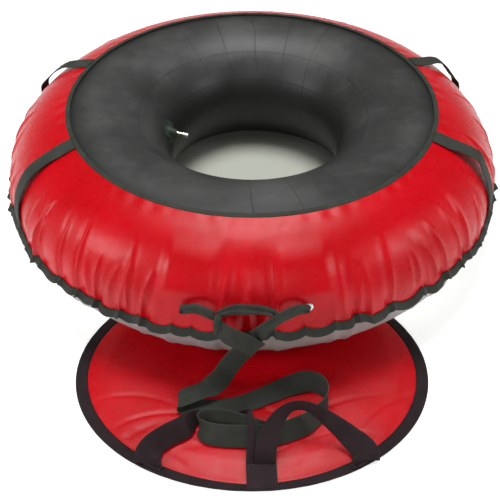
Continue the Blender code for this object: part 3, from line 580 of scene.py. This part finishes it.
def foldHeight(azimuth, angle):
    # height of the gathered folds over the smooth section
    height = np.zeros(np.broadcast(azimuth, angle).shape)
    for fold in coverFolds:
        up = np.clip((angle + 6.0) / (fold["reach"] + 6.0), 0.0, 1.0)
        fade = (1.0 - up) ** 0.8 * smoothStep(angle, fold["start"] - 6.0, fold["start"])
        wide = fold["width"] * (1.0 + 0.35 * up)
        off = (azimuth - fold["place"] - fold["lean"] * up * up + 180.0) % 360.0 - 180.0
        near = np.abs(off) < 6.0 * wide
        off = np.where(near, off, 99.0)
        crest = np.exp(-np.abs(off / wide) ** 1.2)
        dip = np.exp(-((off - fold["side"] * 2.0 * wide) / (1.3 * wide)) ** 2)
        height = height + fade * (fold["height"] * crest - fold["valley"] * dip)
    height = height + pleats["puff"] * (lobeWave(azimuth) - 0.35) * (1.0 - smoothStep(angle, -4.0, 30.0))
    height = np.maximum(height, -0.0055) * calm(azimuth) * (1.0 - grommetShare(azimuth))
    lift = grommetLift * grommetShare(azimuth) * smoothStep(62.0 - angle, 0.0, 20.0)
    return height + lift


def lobeDrop(azimuth):
    # the seam hangs in lobes between the places where it is drawn up
    return ring["lobeDrop"] - 2.0 * ring["lobeDrop"] * lobeWave(azimuth)


def seamAndTip(azimuth, grow=0.0):
    rise = np.interp((azimuth + 180.0) % 360.0 - 180.0, seamRise["azimuths"], seamRise["rises"])
    height = ring["halfHeight"] - ring["seamDrop"] + lobeDrop(azimuth) + rise
    fold = foldHeight(azimuth, np.full_like(azimuth, ring["seamAngle"]))
    radius = seamRadius(height, fold) + grow
    return radius, height


def onFacet(azimuth, angle):
    # the flat of the cover round the grommets
    low, high = onCover(azimuth, facet["low"], grommetLift), onCover(azimuth, facet["high"], grommetLift)
    share = (angle - facet["low"]) / (facet["high"] - facet["low"])
    return low + (high - low) * share - facet["sink"] * unit(low * [1, 1, 0])


def ringPoint(radius, azimuth, height):
    t = np.radians(azimuth)
    return np.stack(np.broadcast_arrays(radius * np.cos(t), radius * np.sin(t), height), -1)


def sheetNormals(outer):
    # normals of a sheet laid round the ring, and the middle of the ring's section beside each column
    down = np.gradient(outer, axis=0)
    aroundWay = np.roll(outer, -1, 1) - np.roll(outer, 1, 1)
    return unit(np.cross(aroundWay, down)), ringPoint(ring["radius"], turns(outer.shape[1]), ring["halfHeight"])


# red cover
def makeCover():
    look = {"columns": 2160, "rows": 66, "thickness": 0.0012}
    azimuth = turns(look["columns"])
    rows = []
    seamR, seamZ = seamAndTip(azimuth)
    share = np.linspace(0.0, 1.0, look["rows"])
    pucker = 0.0007 * np.sin(np.radians(azimuth * 61.0)) * np.sin(np.radians(azimuth * 7.0 + 40.0))
    for t in share:
        angle = ring["rimAngle"] + (ring["seamAngle"] - ring["rimAngle"]) * t
        grow = foldHeight(azimuth, np.full_like(azimuth, angle))
        grow = grow + ring["rimLift"] * (1.0 - smoothStep(t, 0.0, 0.12))
        grow = grow + pucker * np.exp(-((t - 0.07) / 0.05) ** 2)
        point = onCover(azimuth, angle, grow)
        flat = onFacet(azimuth, angle)
        press = (grommetShare(azimuth) * smoothStep(30.0 - angle, 0.0, 12.0))[:, None]
        point = point + (flat - point) * press
        rest = ringPoint(seamR, azimuth, seamZ)
        point = point + (rest - point) * smoothStep(t, 0.80, 1.0) * (1.0 if t == 1.0 else 0.9)
        rows.append(point)
    for t in (0.25, 0.5, 0.75, 1.0):
        rows.append(ringPoint(seamR + ring["skirtFlare"] * t, azimuth, seamZ - ring["skirtDrop"] * t))
    outer = np.array(rows)
    normal, centre = sheetNormals(outer)
    if np.einsum("ijk,ijk->ij", normal, outer - centre[None]).mean() < 0:
        normal = -normal
    inner = outer - normal * look["thickness"]
    loop = np.concatenate([outer, inner[::-1]])
    piece = loopMesh("coverTop", loop, finishes["cover"])
    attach(piece, "ring")
    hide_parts("cover_top")
    return piece, outer, normal


coverTop, coverRows, coverNormals = makeCover()
print("red cover ready")

# the lower cover lies flat under the seat, and over the pad at the front
pad = {
    "halfWidth": 0.317,
    "halfDepth": 0.250,
    "middle": -0.470,
    "sole": 0.00135,
    "lift": 0.01035,
    "narrowFrom": 0.12,     # inset from which the rings of points draw in to the middle
}


def padInside(x, y):
    # metres in from the pad's edge, below zero outside it
    share = np.sqrt((x / pad["halfWidth"]) ** 2 + ((y - pad["middle"]) / pad["halfDepth"]) ** 2)
    return (1.0 - share) * pad["halfDepth"]


def lifted(points, over=0.0):
    inside = padInside(points[..., 0], points[..., 1])
    least = (pad["lift"] + over) * smoothStep(inside, -0.030, 0.004)
    points[..., 2] = np.maximum(points[..., 2], least + over * (least > 0))
    return points


def makeLowerCover():
    look = {
        "columns": 720, "thickness": 0.0012, "gather": 0.0080, "bulge": 0.0062, "folds": 90,
        "seat": 0.018, "cling": 0.0030, "seatRadii": (0.00001, 0.05, 0.10, 0.14, 0.17, 0.20, 0.23, 0.26, 0.29),
    }
    azimuth = turns(look["columns"])
    draw = random.Random(11)
    folds = [
        (draw.uniform(0, 360), draw.uniform(0.5, 1.6), draw.uniform(0.3, 1.0), draw.uniform(-3, 3))
        for _ in range(look["folds"])
    ]
    # the seat is held a little off the floor and clings to the ring's underside round it
    rows = []
    for radius in look["seatRadii"]:
        share = (ring["radius"] - radius) / ring["halfWidth"]
        under = ring["halfHeight"] * (1.0 - math.sqrt(max(0.0, 1.0 - share * share)))
        height = min(look["seat"], max(0.0, under - look["cling"]))
        rows.append(ringPoint(radius, azimuth, np.full_like(azimuth, height)))
    seamR, seamZ = seamAndTip(azimuth, -0.0016)
    for t in np.linspace(0.0, 1.0, 30):
        angle = 270.0 + 84.6 * t
        fold = np.zeros_like(azimuth)
        rise = smoothStep(t, 0.30, 1.0)
        for place, wide, size, lean in folds:
            off = (azimuth - place - lean * (1 - t) + 180.0) % 360.0 - 180.0
            fold = fold + look["gather"] * size * rise * np.exp(-(np.abs(off) / wide) ** 1.3)
        fold = fold * (0.4 + 0.6 * calm(azimuth))
        base = onCover(azimuth, angle, 0.0)
        away = unit(onCover(azimuth, angle, 0.01) - base)
        full = look["bulge"] * smoothStep(t, 0.25, 0.60)
        point = base + away * ((fold + full) * (1.0 - t ** 6))[:, None]
        target = ringPoint(seamR, azimuth, seamZ - 0.003)
        point = point + (target - point) * smoothStep(t, 0.72, 1.0)
        rows.append(point)
    outer = lifted(np.array(rows))
    outer[..., 2] = np.maximum(outer[..., 2], 0.0)
    normal, centre = sheetNormals(outer)
    normal[:2] = (0.0, 0.0, 1.0)
    facing = np.einsum("ijk,ijk->ij", normal, centre[None] - outer)
    if facing[12:].mean() < 0:
        normal[2:] = -normal[2:]
    inner = outer + normal * look["thickness"]
    seat = len(look["seatRadii"])
    inner[:seat, :, 2] = outer[:seat, :, 2] + look["thickness"]
    piece = loopMesh("coverBottom", np.concatenate([outer, inner[::-1]]), finishes["grey"])
    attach(piece, "ring")
    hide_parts("cover_bottom")


def makeInnerTube():
    look = {
        "columns": 320, "rows": 132, "shrink": -0.0022,
        "under": -0.0070,   # drawn in where the cover's folds dip, out of sight
        "hole": 0.026,      # the hole is wider towards the back, except beside the valve
        "holeAngles": (90, 108, 135, 165, 195, 222, 246, 268),
        "holeShares": (0.0, 0.10, 0.50, 0.85, 1.0, 1.0, 0.5, 0.0),
        "valve": (173.0, 9.0, 78.0),
        "overPad": 0.0036,
        "overFloor": 0.0022,
    }
    azimuth = turns(look["columns"])
    angles = turns(look["rows"])
    turned = (angles + 100.0) % 360.0
    hidden = smoothStep(turned, 40.0, 70.0) * smoothStep(turned, 172.0, 155.0)
    grows = look["shrink"] + look["under"] * hidden
    rows = np.array([onCover(azimuth, angle, grow) for angle, grow in zip(angles, grows)])
    valve, near, far = look["valve"]
    wide = look["hole"] * (0.5 + 0.5 * np.sin(np.radians(azimuth))) * smoothStep(apart(azimuth, valve), near, far)
    deep = np.interp(angles, look["holeAngles"], look["holeShares"], left=0.0, right=0.0)
    t = np.radians(azimuth)
    rows = rows + (deep[:, None] * wide)[:, :, None] * np.stack([np.cos(t), np.sin(t), 0.0 * t], -1)
    rows = lifted(rows, look["overPad"])
    rows[..., 2] = np.maximum(rows[..., 2], look["overFloor"])
    piece = loopMesh("innerTube", rows, finishes["rubber"], along=np.append(azimuth, 360.0),
                     across=np.append(angles, 360.0))
    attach(piece, "ring")
    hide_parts("inner_tube")


makeLowerCover()
makeInnerTube()
print("lower cover and rubber ring ready")


# webbing folded round an edge: its section runs from the leg's end to the fold and back
def edging(name, finish, edge, beyond, out, width, over, half, pucker=None):
    marks = [
        (-width, 0.45), (-width + 0.0004, 0.95), (-0.75 * width, 1.0), (-0.5 * width, 1.0), (-0.28 * width, 1.04),
        (-0.1 * width, 1.0), (over * 0.3, 0.92), (over * 0.8, 0.62), (over, 0.2),
    ]
    marks = marks + [(u, -v) for u, v in marks[::-1]]
    rows = []
    for u, v in marks:
        lift = half * v
        spot = edge + beyond * u + out * lift
        if pucker is not None:
            spot = spot + out * (pucker * math.copysign(1.0, v) * (1.0 - abs(u / width)))[:, None]
        rows.append(spot)
    ahead = np.linalg.norm(np.roll(edge, -1, 0) - edge, axis=1)
    along = np.concatenate([[0.0], np.cumsum(ahead)])
    across = np.array([u for u, v in marks] + [marks[0][0]])
    return loopMesh(name, np.array(rows), finish, along=along, across=across)


def makeBindings():
    look = {"openingWidth": 0.0078, "seamWidth": 0.0150, "over": 0.0013, "half": 0.0019, "middle": 0.0006}
    azimuth = turns(coverRows.shape[1])
    rim = coverRows[0] - coverNormals[0] * look["middle"]
    beyond = unit(coverRows[0] - coverRows[3])
    wobble = 0.0003 * np.sin(np.radians(azimuth * 90.0)) + 0.0002 * np.sin(np.radians(azimuth * 37.0))
    piece = edging("openingBinding", finishes["binding"], rim, beyond, coverNormals[0], look["openingWidth"],
                   look["over"], look["half"], wobble)
    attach(piece, "ring")
    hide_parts("opening_binding")
    tip = coverRows[-1] - coverNormals[-1] * look["middle"]
    beyond = unit(coverRows[-1] - coverRows[-4])
    wobble = 0.0004 * np.sin(np.radians(azimuth * 71.0 + 30.0)) + 0.0003 * np.sin(np.radians(azimuth * 143.0))
    piece = edging("seamBinding", finishes["binding"], tip, beyond, unit(coverNormals[-3]), look["seamWidth"],
                   look["over"], look["half"], wobble)
    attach(piece, "ring")
    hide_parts("seam_binding")


makeBindings()
# a ring cut from one square, drawn in at both edges
print("bindings ready")


# carrying handles, each in two halves
strapThickness = 0.0016
# height of each handle over the cover, by section angle
handleBows = {
    "left_front": ((75, 0.0036), (65, 0.0032), (56, 0.0060), (43, 0.0100), (30, 0.0078), (21, 0.0060), (12, 0.0040),
                   (0, 0.0026)),
    "right_front": ((75, 0.0036), (65, 0.0045), (56, 0.0130), (47, 0.0205), (43, 0.0180), (37, 0.0118), (30, 0.0084),
                    (21, 0.0060), (9, 0.0036), (0, 0.0024)),
    "left_back": ((75, 0.0036), (65, 0.0052), (56, 0.0105), (46, 0.0110), (37, 0.0110), (30, 0.0135), (25, 0.0158),
                  (20, 0.0120), (12, 0.0050), (0, 0.0022)),
    "right_back": ((75, 0.0036), (65, 0.0062), (59, 0.0140), (53, 0.0180), (47, 0.0155), (40, 0.0115), (32, 0.0105),
                   (26, 0.0135), (21, 0.0110), (12, 0.0050), (0, 0.0022)),
}


def makeHandle(side, azimuth):
    look = {"width": 0.034, "middle": 37.0, "ends": (76.6, -2.2), "steps": 50}
    middle = math.radians(azimuth)
    sideways = np.array([-math.sin(middle), math.cos(middle), 0.0])
    names = (f"handle_{side}", f"handle_{side}_upper_end", f"handle_{side}_lower_end")
    marks = np.array(handleBows[side][::-1], float)

    def curl(s, t):
        return 0.0009 * (s ** 2 - 0.4) * np.sin(math.pi * t)

    for part, first, last in (("Upper", look["ends"][0], look["middle"]), ("Lower", look["middle"], look["ends"][1])):
        angles = np.linspace(first, last, look["steps"])
        near = [np.interp(angles + d, marks[:, 0], marks[:, 1]) for d in (-1.6, -0.8, 0.0, 0.8, 1.6)]
        centres = onCover(azimuth, angles, np.mean(near, axis=0))
        # the free bow draws in a little where it leaves the cover
        free = smoothStep(np.abs(angles - look["middle"]), 29.0, 20.0)
        widths = look["width"] * (1.0 - 0.10 * free)
        piece = ribbon(f"handle{side.title().replace('_', '')}{part}", finishes["handle"], centres,
                       np.tile(sideways, (look["steps"], 1)), widths, np.full(look["steps"], strapThickness),
                       ripple=curl)
        sewn = onCover(azimuth, 68.5 if part == "Upper" else 5.5, 0.003)
        loose = onCover(azimuth, 61.0 if part == "Upper" else 13.0, 0.010)
        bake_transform(piece)
        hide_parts(*names)


for side, azimuth in handles.items():
    makeHandle(side, azimuth)
print("handles ready")


# metal parts and the valve keep their CAD solids and take finishes
def dress(finish, *names):
    for name in names:
        mesh = nodes[name].data
        mesh.materials.clear()
        mesh.materials.append(finishes[finish].material)


dress("nickel", "grommet_left", "grommet_right", "valve_cap", "valve_pin")
dress("brass", "grommet_left_washer", "grommet_right_washer", "valve_stem", "valve_core")
dress("patch", "valve_base", "valve_cap_seal")
print("metal parts and valve dressed")


# webbing tied between the grommets; rows are azimuth, section angle, height, width share, thickness share
strapWidth = 0.038
knots = {
    "place": (-96.2, 10.6, 0.0240),
    "halfSizes": (0.0072, 0.0085, 0.0215),
    "rows": {
        "left": (
            (-103.5, 14.4, 0.0105, 0.38, 0.100), (-102.3, 16.4, 0.0155, 0.40, 0.100),
            (-100.6, 18.4, 0.0190, 0.42, 0.095), (-99.0, 18.0, 0.0215, 0.44, 0.095),
            (-96.93, 16.2, 0.0237, 0.40, 0.110),
        ),
        "top": (
            (-96.2, 16.4, 0.0233, 0.32, 0.110), (-95.62, 17.75, 0.0231, 0.34, 0.090),
            (-93.4, 20.2, 0.0210, 0.46, 0.075), (-91.0, 20.2, 0.0205, 0.48, 0.070), (-88.5, 20.2, 0.0205, 0.42, 0.075),
            (-86.19, 18.70, 0.02275, 0.30, 0.090), (-85.7, 17.6, 0.0236, 0.28, 0.090),
        ),
        "right": (
            (-80.7, 18.4, 0.0180, 0.40, 0.110), (-82.4, 18.4, 0.0215, 0.46, 0.095), (-85.3, 14.6, 0.0250, 0.48, 0.085),
            (-87.3, 10.4, 0.0275, 0.58, 0.070), (-89.3, 4.2, 0.0295, 0.80, 0.055),
        ),
        "tail": (
            (-96.1, 10.4, 0.0270, 0.60, 0.060), (-95.30, 8.4, 0.0296, 0.72, 0.050), (-93.9, 5.6, 0.0340, 0.92, 0.044),
            (-92.0, 3.4, 0.0365, 1.0, 0.042), (-90.4, 0.2, 0.0375, 1.0, 0.042), (-89.0, -3.6, 0.0375, 1.0, 0.042),
        ),
    },
    "twist": {"left": 0.0, "top": 0.0, "right": -34.0, "tail": 30.0},
    "neck": (-0.0012, 0.0050, 0.0092),
    "neckShare": 0.17,
}


def surfaceAxes(azimuth, angle):
    a, t = math.radians(max(angle, 0.0)), math.radians(azimuth)
    outwards = np.array([math.cos(t), math.sin(t), 0.0])
    sideways = np.array([-math.sin(t), math.cos(t), 0.0])
    out = outwards * math.cos(a) / ring["halfWidth"] + np.array([0, 0, math.sin(a) / ring["halfHeight"]])
    out = out / np.linalg.norm(out)
    return sideways, np.cross(out, sideways), out


def grommetAxes(side):
    azimuth, angle = grommets[side]
    low, high = onCover(azimuth, facet["low"], grommetLift), onCover(azimuth, facet["high"], grommetLift)
    up = unit(high - low)
    t = math.radians(azimuth)
    sideways = np.array([-math.sin(t), math.cos(t), 0.0])
    out = np.cross(sideways, up)
    share = (angle - facet["low"]) / (facet["high"] - facet["low"])
    return low + (high - low) * share, up, out


def creased(waves, size, seed):
    # lengthwise folds of crumpled webbing
    draw = random.Random(seed)
    marks = [(draw.uniform(0.7, 1.3) * waves, draw.uniform(0, 6.28), draw.uniform(-2.0, 2.0)) for _ in range(3)]

    def ripple(s, t):
        height = 0.0
        for wave, phase, lean in marks:
            height = height + np.sin(s * wave * math.pi + phase + lean * t * 3.0)
        return height * size / 3 + 0.0004 * np.sin(t * 23.0 + s * 4.0)

    return ripple


def makeBridle():
    bends = {
        "left": creased(1.6, 0.0024, 3), "top": creased(1.5, 0.0022, 5),
        "right": creased(1.2, 0.0024, 8), "tail": creased(0.7, 0.0010, 2),
    }
    for name, rows in knots["rows"].items():
        rows = np.array(rows)
        centres, acrosses, widths, thicknesses = [], [], [], []
        if name in grommets:
            origin, up, out = grommetAxes(name)
            first = onCover(*rows[0][:3])
            for i, height in enumerate(knots["neck"]):
                spot = origin + out * height
                if i == len(knots["neck"]) - 1:
                    spot = spot + (first - spot) * 0.28
                centres.append(spot)
                acrosses.append(up)
                widths.append(strapWidth * knots["neckShare"] * (1.0 + 0.25 * i))
                thicknesses.append(strapWidth * knots["neckShare"] * (0.9 - 0.12 * i))
        for azimuth, angle, height, width, thickness in smoothRows(rows, 2):
            sideways, up, out = surfaceAxes(azimuth, angle)
            turn = math.radians(knots["twist"][name])
            centres.append(onCover(azimuth, angle, height))
            acrosses.append(up * math.cos(turn) + sideways * math.sin(turn))
            widths.append(strapWidth * width)
            thicknesses.append(strapWidth * thickness)
        table = smoothRows(np.column_stack([np.array(centres), np.array(acrosses), widths, thicknesses]), 5)
        wide = np.linspace(-1.0, 1.0, 25)
        side = [(s, -1.0 + 0.5 * max(0.0, abs(s) - 0.96) / 0.04) for s in wide]
        section = np.array(side + [(-s, -t) for s, t in side])
        piece = ribbon("bridle" + name.title(), finishes["strap"], table[:, :3], table[:, 3:6], table[:, 6] * 1.04,
                       np.minimum(table[:, 7], 0.0030 if name == "tail" else 0.0046), section, bends[name])
        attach(piece, "ring")
        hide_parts("bridle_" + name)


def makeKnot():
    # one tight lump, with ridges like the turns of the webbing
    look = {"around": 72, "upward": 41, "strap": 0.055, "half": 0.02}
    azimuth, angle, height = knots["place"]
    sideways, up, out = surfaceAxes(azimuth, angle)
    middle = onCover(azimuth, angle, height)
    halfX, halfY, halfZ = knots["halfSizes"]
    v = np.radians(turns(look["around"]))
    rows = []
    for a in np.linspace(0.0, math.pi, look["upward"]):
        z = math.cos(a)
        ridge = 1.0 + 0.10 * np.cos(z * 8.0 + np.sin(v) * 1.6) + 0.03 * np.cos(z * 21.0 + np.sin(v + 1.0) * 3.0)
        wide = max(0.02, math.sin(a)) ** 0.75 * ridge
        rows.append(middle + (sideways * halfX * 1.05) * (np.cos(v) * wide)[:, None]
                    + (out * halfY) * (np.sin(v) * wide)[:, None] + up * halfZ * z)
    along = np.linspace(0.0, look["strap"], look["around"] + 2)[:-1]
    across = np.linspace(-look["half"], look["half"], look["upward"])
    piece = loopMesh("strapKnot", rows, finishes["strap"], wrapRows=False, along=along, across=across)
    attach(piece, "ring")
    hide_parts("strap_knot")


makeBridle()
makeKnot()
print("bridle and knot ready")


# tow strap: x, y, z, then heading and dip of its width in degrees
strapRows = (
    (0.0040, -0.5236, 0.1480, 22, -40), (-0.0040, -0.5228, 0.1320, 10, -37),
    (-0.0160, -0.5213, 0.1120, 0, -34), (-0.0254, -0.5190, 0.0965, 0, -33), (-0.0388, -0.5241, 0.0780, 0, -33),
    (-0.0480, -0.5270, 0.0610, -4, -32), (-0.0565, -0.5290, 0.0470, -14, -28), (-0.0655, -0.5300, 0.0365, -32, -18),
    (-0.0780, -0.5330, 0.0285, -62, 0), (-0.0930, -0.5385, 0.0255, -76, 4),
    (-0.1080, -0.5450, 0.0245, -82, 4), (-0.1200, -0.5500, 0.0235, -86, 2), (-0.1262, -0.5525, 0.0178, -89, 0),
    (-0.1205, -0.5550, 0.0123, -92, 0), (-0.1040, -0.5595, 0.0113, -98, 0), (-0.0800, -0.5630, 0.0112, -95, 0),
    (-0.0480, -0.5620, 0.0111, -84, 0), (-0.0120, -0.5525, 0.0113, -70, 0), (0.0300, -0.5330, 0.0122, -66, -3),
    (0.0600, -0.5200, 0.0152, -78, -14), (0.0860, -0.5150, 0.0228, -88, -36), (0.1080, -0.5190, 0.0278, -90, -52),
    (0.1240, -0.5320, 0.0295, -90, -62), (0.1300, -0.5510, 0.0295, -90, -66), (0.1260, -0.5710, 0.0290, -90, -62),
    (0.1110, -0.5890, 0.0275, -90, -56), (0.0880, -0.6070, 0.0265, -90, -52), (0.0520, -0.6225, 0.0260, -90, -50),
    (0.0180, -0.6290, 0.0258, -90, -49), (-0.0160, -0.6305, 0.0256, -90, -48), (-0.0500, -0.6290, 0.0258, -90, -49),
    (-0.0750, -0.6240, 0.0270, -90, -53), (-0.0865, -0.6120, 0.0278, -90, -56), (-0.0835, -0.6014, 0.0278, -90, -56),
    (-0.0660, -0.5974, 0.0270, -90, -54), (-0.0390, -0.6005, 0.0262, -90, -52), (-0.0080, -0.6108, 0.0258, -90, -50),
    (0.0180, -0.6220, 0.0257, -90, -49), (0.0400, -0.6226, 0.0257, -90, -49),
)


def makeStrap():
    rows = smoothRows(strapRows, 8)
    heading, dip = np.radians(rows[:, 3]), np.radians(rows[:, 4])
    acrosses = np.stack([np.cos(heading) * np.cos(dip), np.sin(heading) * np.cos(dip), np.sin(dip)], -1)
    centres = rows[:, :3]
    count = len(centres)

    def soft(s, t):
        return 0.0005 * np.sin(t * 41.0 + s * 1.2) * s + 0.0003 * np.sin(t * 97.0 + s * 2.0)

    piece = ribbon("towStrap", finishes["strap"], centres, acrosses, np.full(count, strapWidth),
                   np.full(count, strapThickness), ripple=soft)
    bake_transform(piece)
    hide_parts("tow_strap_drop", "tow_strap_lying")


makeStrap()


# seat pad
def padPoint(angle, inset, height):
    a = np.radians(angle)
    # the rings inside shrink to a point and not to a slit
    share = (inset - pad["narrowFrom"]) / (pad["halfDepth"] - pad["narrowFrom"])
    squeeze = math.sqrt(1.0 - min(1.0, max(0.0, share)) ** 2)
    x = (pad["halfWidth"] - inset) * squeeze * np.cos(a)
    y = pad["middle"] + (pad["halfDepth"] - inset) * np.sin(a)
    return np.stack(np.broadcast_arrays(x, y, height), -1)


def padProfile(inset):
    # height of the top sheet at a distance in from the edge
    spots = [0.0, 0.0169, 0.0240, 0.055, 0.100, 0.138, 0.25]
    heights = [0.00325, 0.00325, 0.0048, 0.00865, 0.00925, 0.00955, 0.00955]
    return np.interp(inset, spots, heights)


def makePad():
    look = {"columns": 420, "rows": 90, "edgeInset": 0.0045, "wrinkle": 0.0016, "creases": 16, "sheet": 0.0008}
    angle = turns(look["columns"])
    draw = random.Random(21)
    creases = [
        (draw.uniform(-0.27, 0.27), draw.uniform(-0.70, -0.52), draw.uniform(-0.9, 0.9), draw.uniform(0.03, 0.10),
         draw.uniform(0.003, 0.007), draw.uniform(0.4, 1.0))
        for _ in range(look["creases"])
    ]
    edgeInset, last = look["edgeInset"], pad["halfDepth"] - 0.000001
    rows = []
    for inset in edgeInset + (last - edgeInset) * np.linspace(0, 1, look["rows"]) ** 1.15:
        point = padPoint(angle, inset, padProfile(inset))
        x, y = point[:, 0], point[:, 1]
        shape = np.zeros_like(x)
        for cx, cy, turn, length, wide, size in creases:
            u = (x - cx) * math.cos(turn) + (y - cy) * math.sin(turn)
            v = -(x - cx) * math.sin(turn) + (y - cy) * math.cos(turn) + 3.0 * u * u
            shape = shape - look["wrinkle"] * size * np.exp(-(u / length) ** 2) * np.exp(-(v / wide) ** 2)
        swell = 0.0008 * np.sin(x * 31.0 + 1.0) * np.sin(y * 43.0 + 2.0)
        shown = smoothStep(-y, 0.49, 0.54) * smoothStep(np.full_like(x, inset), 0.018, 0.040)
        point[:, 2] += np.minimum(shape + swell - 0.0004, 0.0004) * shown
        rows.append(point)
    top = np.array(rows)
    bottom = np.array([padPoint(angle, inset, pad["sole"] + 0.0009) for inset in (last, 0.1, edgeInset)])
    piece = loopMesh("padCushion", np.concatenate([top, bottom]), finishes["padRed"])
    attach(piece, "seat_pad")
    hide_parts("pad_top_cover", "pad_foam")
    upper = pad["sole"] + look["sheet"]
    around = [(edgeInset, upper), (0.10, upper), (last, upper), (last, pad["sole"]), (0.10, pad["sole"]),
              (edgeInset, pad["sole"])]
    sole = np.array([padPoint(angle, inset, height) for inset, height in around])
    under = loopMesh("padUnderside", sole, finishes["grey"])
    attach(under, "seat_pad")
    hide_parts("pad_bottom_cover")
    middle = pad["sole"] + 0.00095
    edge = padPoint(angle, 0.0042, middle)
    inner = padPoint(angle, 0.0200, middle)
    beyond = unit(edge - inner) * (0.56 + 0.56 * np.abs(np.cos(np.radians(angle))))[:, None]
    out = np.tile([0.0, 0.0, 1.0], (len(angle), 1))
    wobble = 0.00025 * np.sin(np.radians(angle * 63.0)) + 0.0002 * np.sin(np.radians(angle * 29.0))
    trim = edging("padBinding", finishes["padTrim"], edge, beyond, out, 0.0165, 0.0036, 0.0023, wobble)
    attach(trim, "seat_pad")
    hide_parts("pad_binding")
    return piece


makePad()
print("seat pad ready")


# pad handles: share of the span, of the reach, rise and face directions in degrees, share of the width
padHandles = {
    "width": 0.050,
    "reach": 0.100,
    "hinge": (-0.672, 0.00937),
    "left": (-0.170, -0.0035, (
        (0.000, 0.000, 52, 142, 0.92), (0.000, 0.055, 52, 142, 0.91), (0.004, 0.135, 48, 145, 0.88),
        (0.036, 0.235, 38, 151, 0.85), (0.091, 0.335, 32, 154, 0.84), (0.202, 0.463, 26, 150, 0.82),
        (0.331, 0.591, 20, 148, 0.80), (0.394, 0.705, 15, 150, 0.72), (0.440, 0.800, 11, 148, 0.58),
        (0.530, 0.850, 8.8, 146, 0.48), (0.637, 0.852, 8.8, 146, 0.44), (0.745, 0.852, 8.8, 146, 0.40),
        (0.841, 0.852, 9.8, 148, 0.33), (0.900, 0.855, 13.5, 150, 0.25), (0.945, 0.855, 20, 150, 0.21),
        (0.975, 0.852, 26.5, 148, 0.18), (0.992, 0.835, 30, 146, 0.18), (1.008, 0.750, 33.5, 142, 0.20),
        (1.016, 0.640, 36.5, 138, 0.22), (1.016, 0.490, 39.5, 136, 0.26), (1.010, 0.290, 43, 136, 0.28),
        (1.003, 0.124, 46, 136, 0.27), (1.000, 0.040, 47, 137, 0.26), (1.000, 0.000, 47, 137, 0.26),
    )),
    "right": (0.0218, 0.186, (
        (0.000, 0.000, 62, 152, 0.72), (0.000, 0.050, 62, 152, 0.72), (-0.002, 0.120, 61, 154, 0.72),
        (0.006, 0.250, 57, 158, 0.71), (0.036, 0.450, 50, 164, 0.69), (0.092, 0.640, 46, 172, 0.65),
        (0.170, 0.810, 43, 178, 0.61), (0.270, 0.920, 40, 182, 0.58), (0.390, 0.930, 38.5, 184, 0.56),
        (0.510, 0.850, 39, 182, 0.58), (0.640, 0.700, 39, 174, 0.64), (0.755, 0.540, 38, 166, 0.72),
        (0.850, 0.385, 41, 160, 0.80), (0.930, 0.260, 45, 154, 0.86), (0.984, 0.150, 48, 146, 0.90),
        (1.000, 0.060, 50, 140, 0.92), (1.000, 0.000, 50, 140, 0.92),
    )),
    "inwards": {"left": 0.002, "centre": 0.0, "right": 0.0068},
    "sewn": {"left": -0.170, "centre": 0.015, "right": 0.186},
}


def edgeSlope(x):
    # direction of the pad's front edge
    share = x / pad["halfWidth"]
    slope = pad["halfDepth"] / pad["halfWidth"] * share / math.sqrt(1.0 - share * share)
    return unit(np.array([1.0, slope, 0.0]))


def makePadHandles():
    hingeY, hingeZ = padHandles["hinge"]
    for side in ("left", "right"):
        start, end, shares = padHandles[side]
        rows = smoothRows(shares, 6)
        a, t = np.radians(rows[:, 2]), np.radians(rows[:, 3])
        centres = np.stack([
            start + (end - start) * rows[:, 0],
            hingeY + np.cos(a) * padHandles["reach"] * rows[:, 1],
            hingeZ + np.sin(a) * padHandles["reach"] * rows[:, 1],
        ], -1)
        shift = padHandles["inwards"][side]
        outer = rows[:, 0] if side == "right" else 1.0 - rows[:, 0]
        centres[:, 1] += shift * smoothStep(outer, 0.6, 1.0)
        faces = np.stack([np.zeros_like(t), np.cos(t), np.sin(t)], -1)
        run = np.gradient(centres, axis=0)
        acrosses = np.cross(faces, run)
        for i in (0, -1):
            acrosses[i] = math.copysign(1.0, acrosses[i][0]) * edgeSlope(centres[i][0])
        widths = padHandles["width"] * rows[:, 4]
        piece = ribbon("padHandle" + side.title(), finishes["trim"], centres, acrosses, widths,
                       np.full(len(rows), strapThickness), ripple=lambda s, t: 0.0005 * np.sin(t * 19.0 + s * 2.0))
        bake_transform(piece)
        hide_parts("pad_handle_" + side)
    for side, x in padHandles["sewn"].items():
        # from the pad's edge, square to it, to under the start of the loop
        front = pad["middle"] - pad["halfDepth"] * math.sqrt(1.0 - (x / pad["halfWidth"]) ** 2)
        front += 0.0030 if side == "centre" else 0.0070
        slope = edgeSlope(x)
        inwards = np.array([-slope[1], slope[0], 0.0])
        foot = hingeY + padHandles["inwards"][side]
        back = max(0.0030, (foot - front) * inwards[1])
        hinge = np.array([x, foot, 0.0])
        marks = [(-back, 0.0058), (-0.45 * back, 0.0074), (0.0, 0.0086), (0.0065, 0.0092)]
        centres = smoothRows([hinge + inwards * run + np.array([0, 0, z]) for run, z in marks], 6)
        count = len(centres)
        piece = ribbon("padHandleSewn" + side.title(), finishes["trim"], centres, np.tile(slope, (count, 1)),
                       np.full(count, padHandles["width"]), np.full(count, strapThickness))
        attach(piece, "seat_pad")
        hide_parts("pad_handle_sewn_" + side)


makePadHandles()
print("pad handles ready")
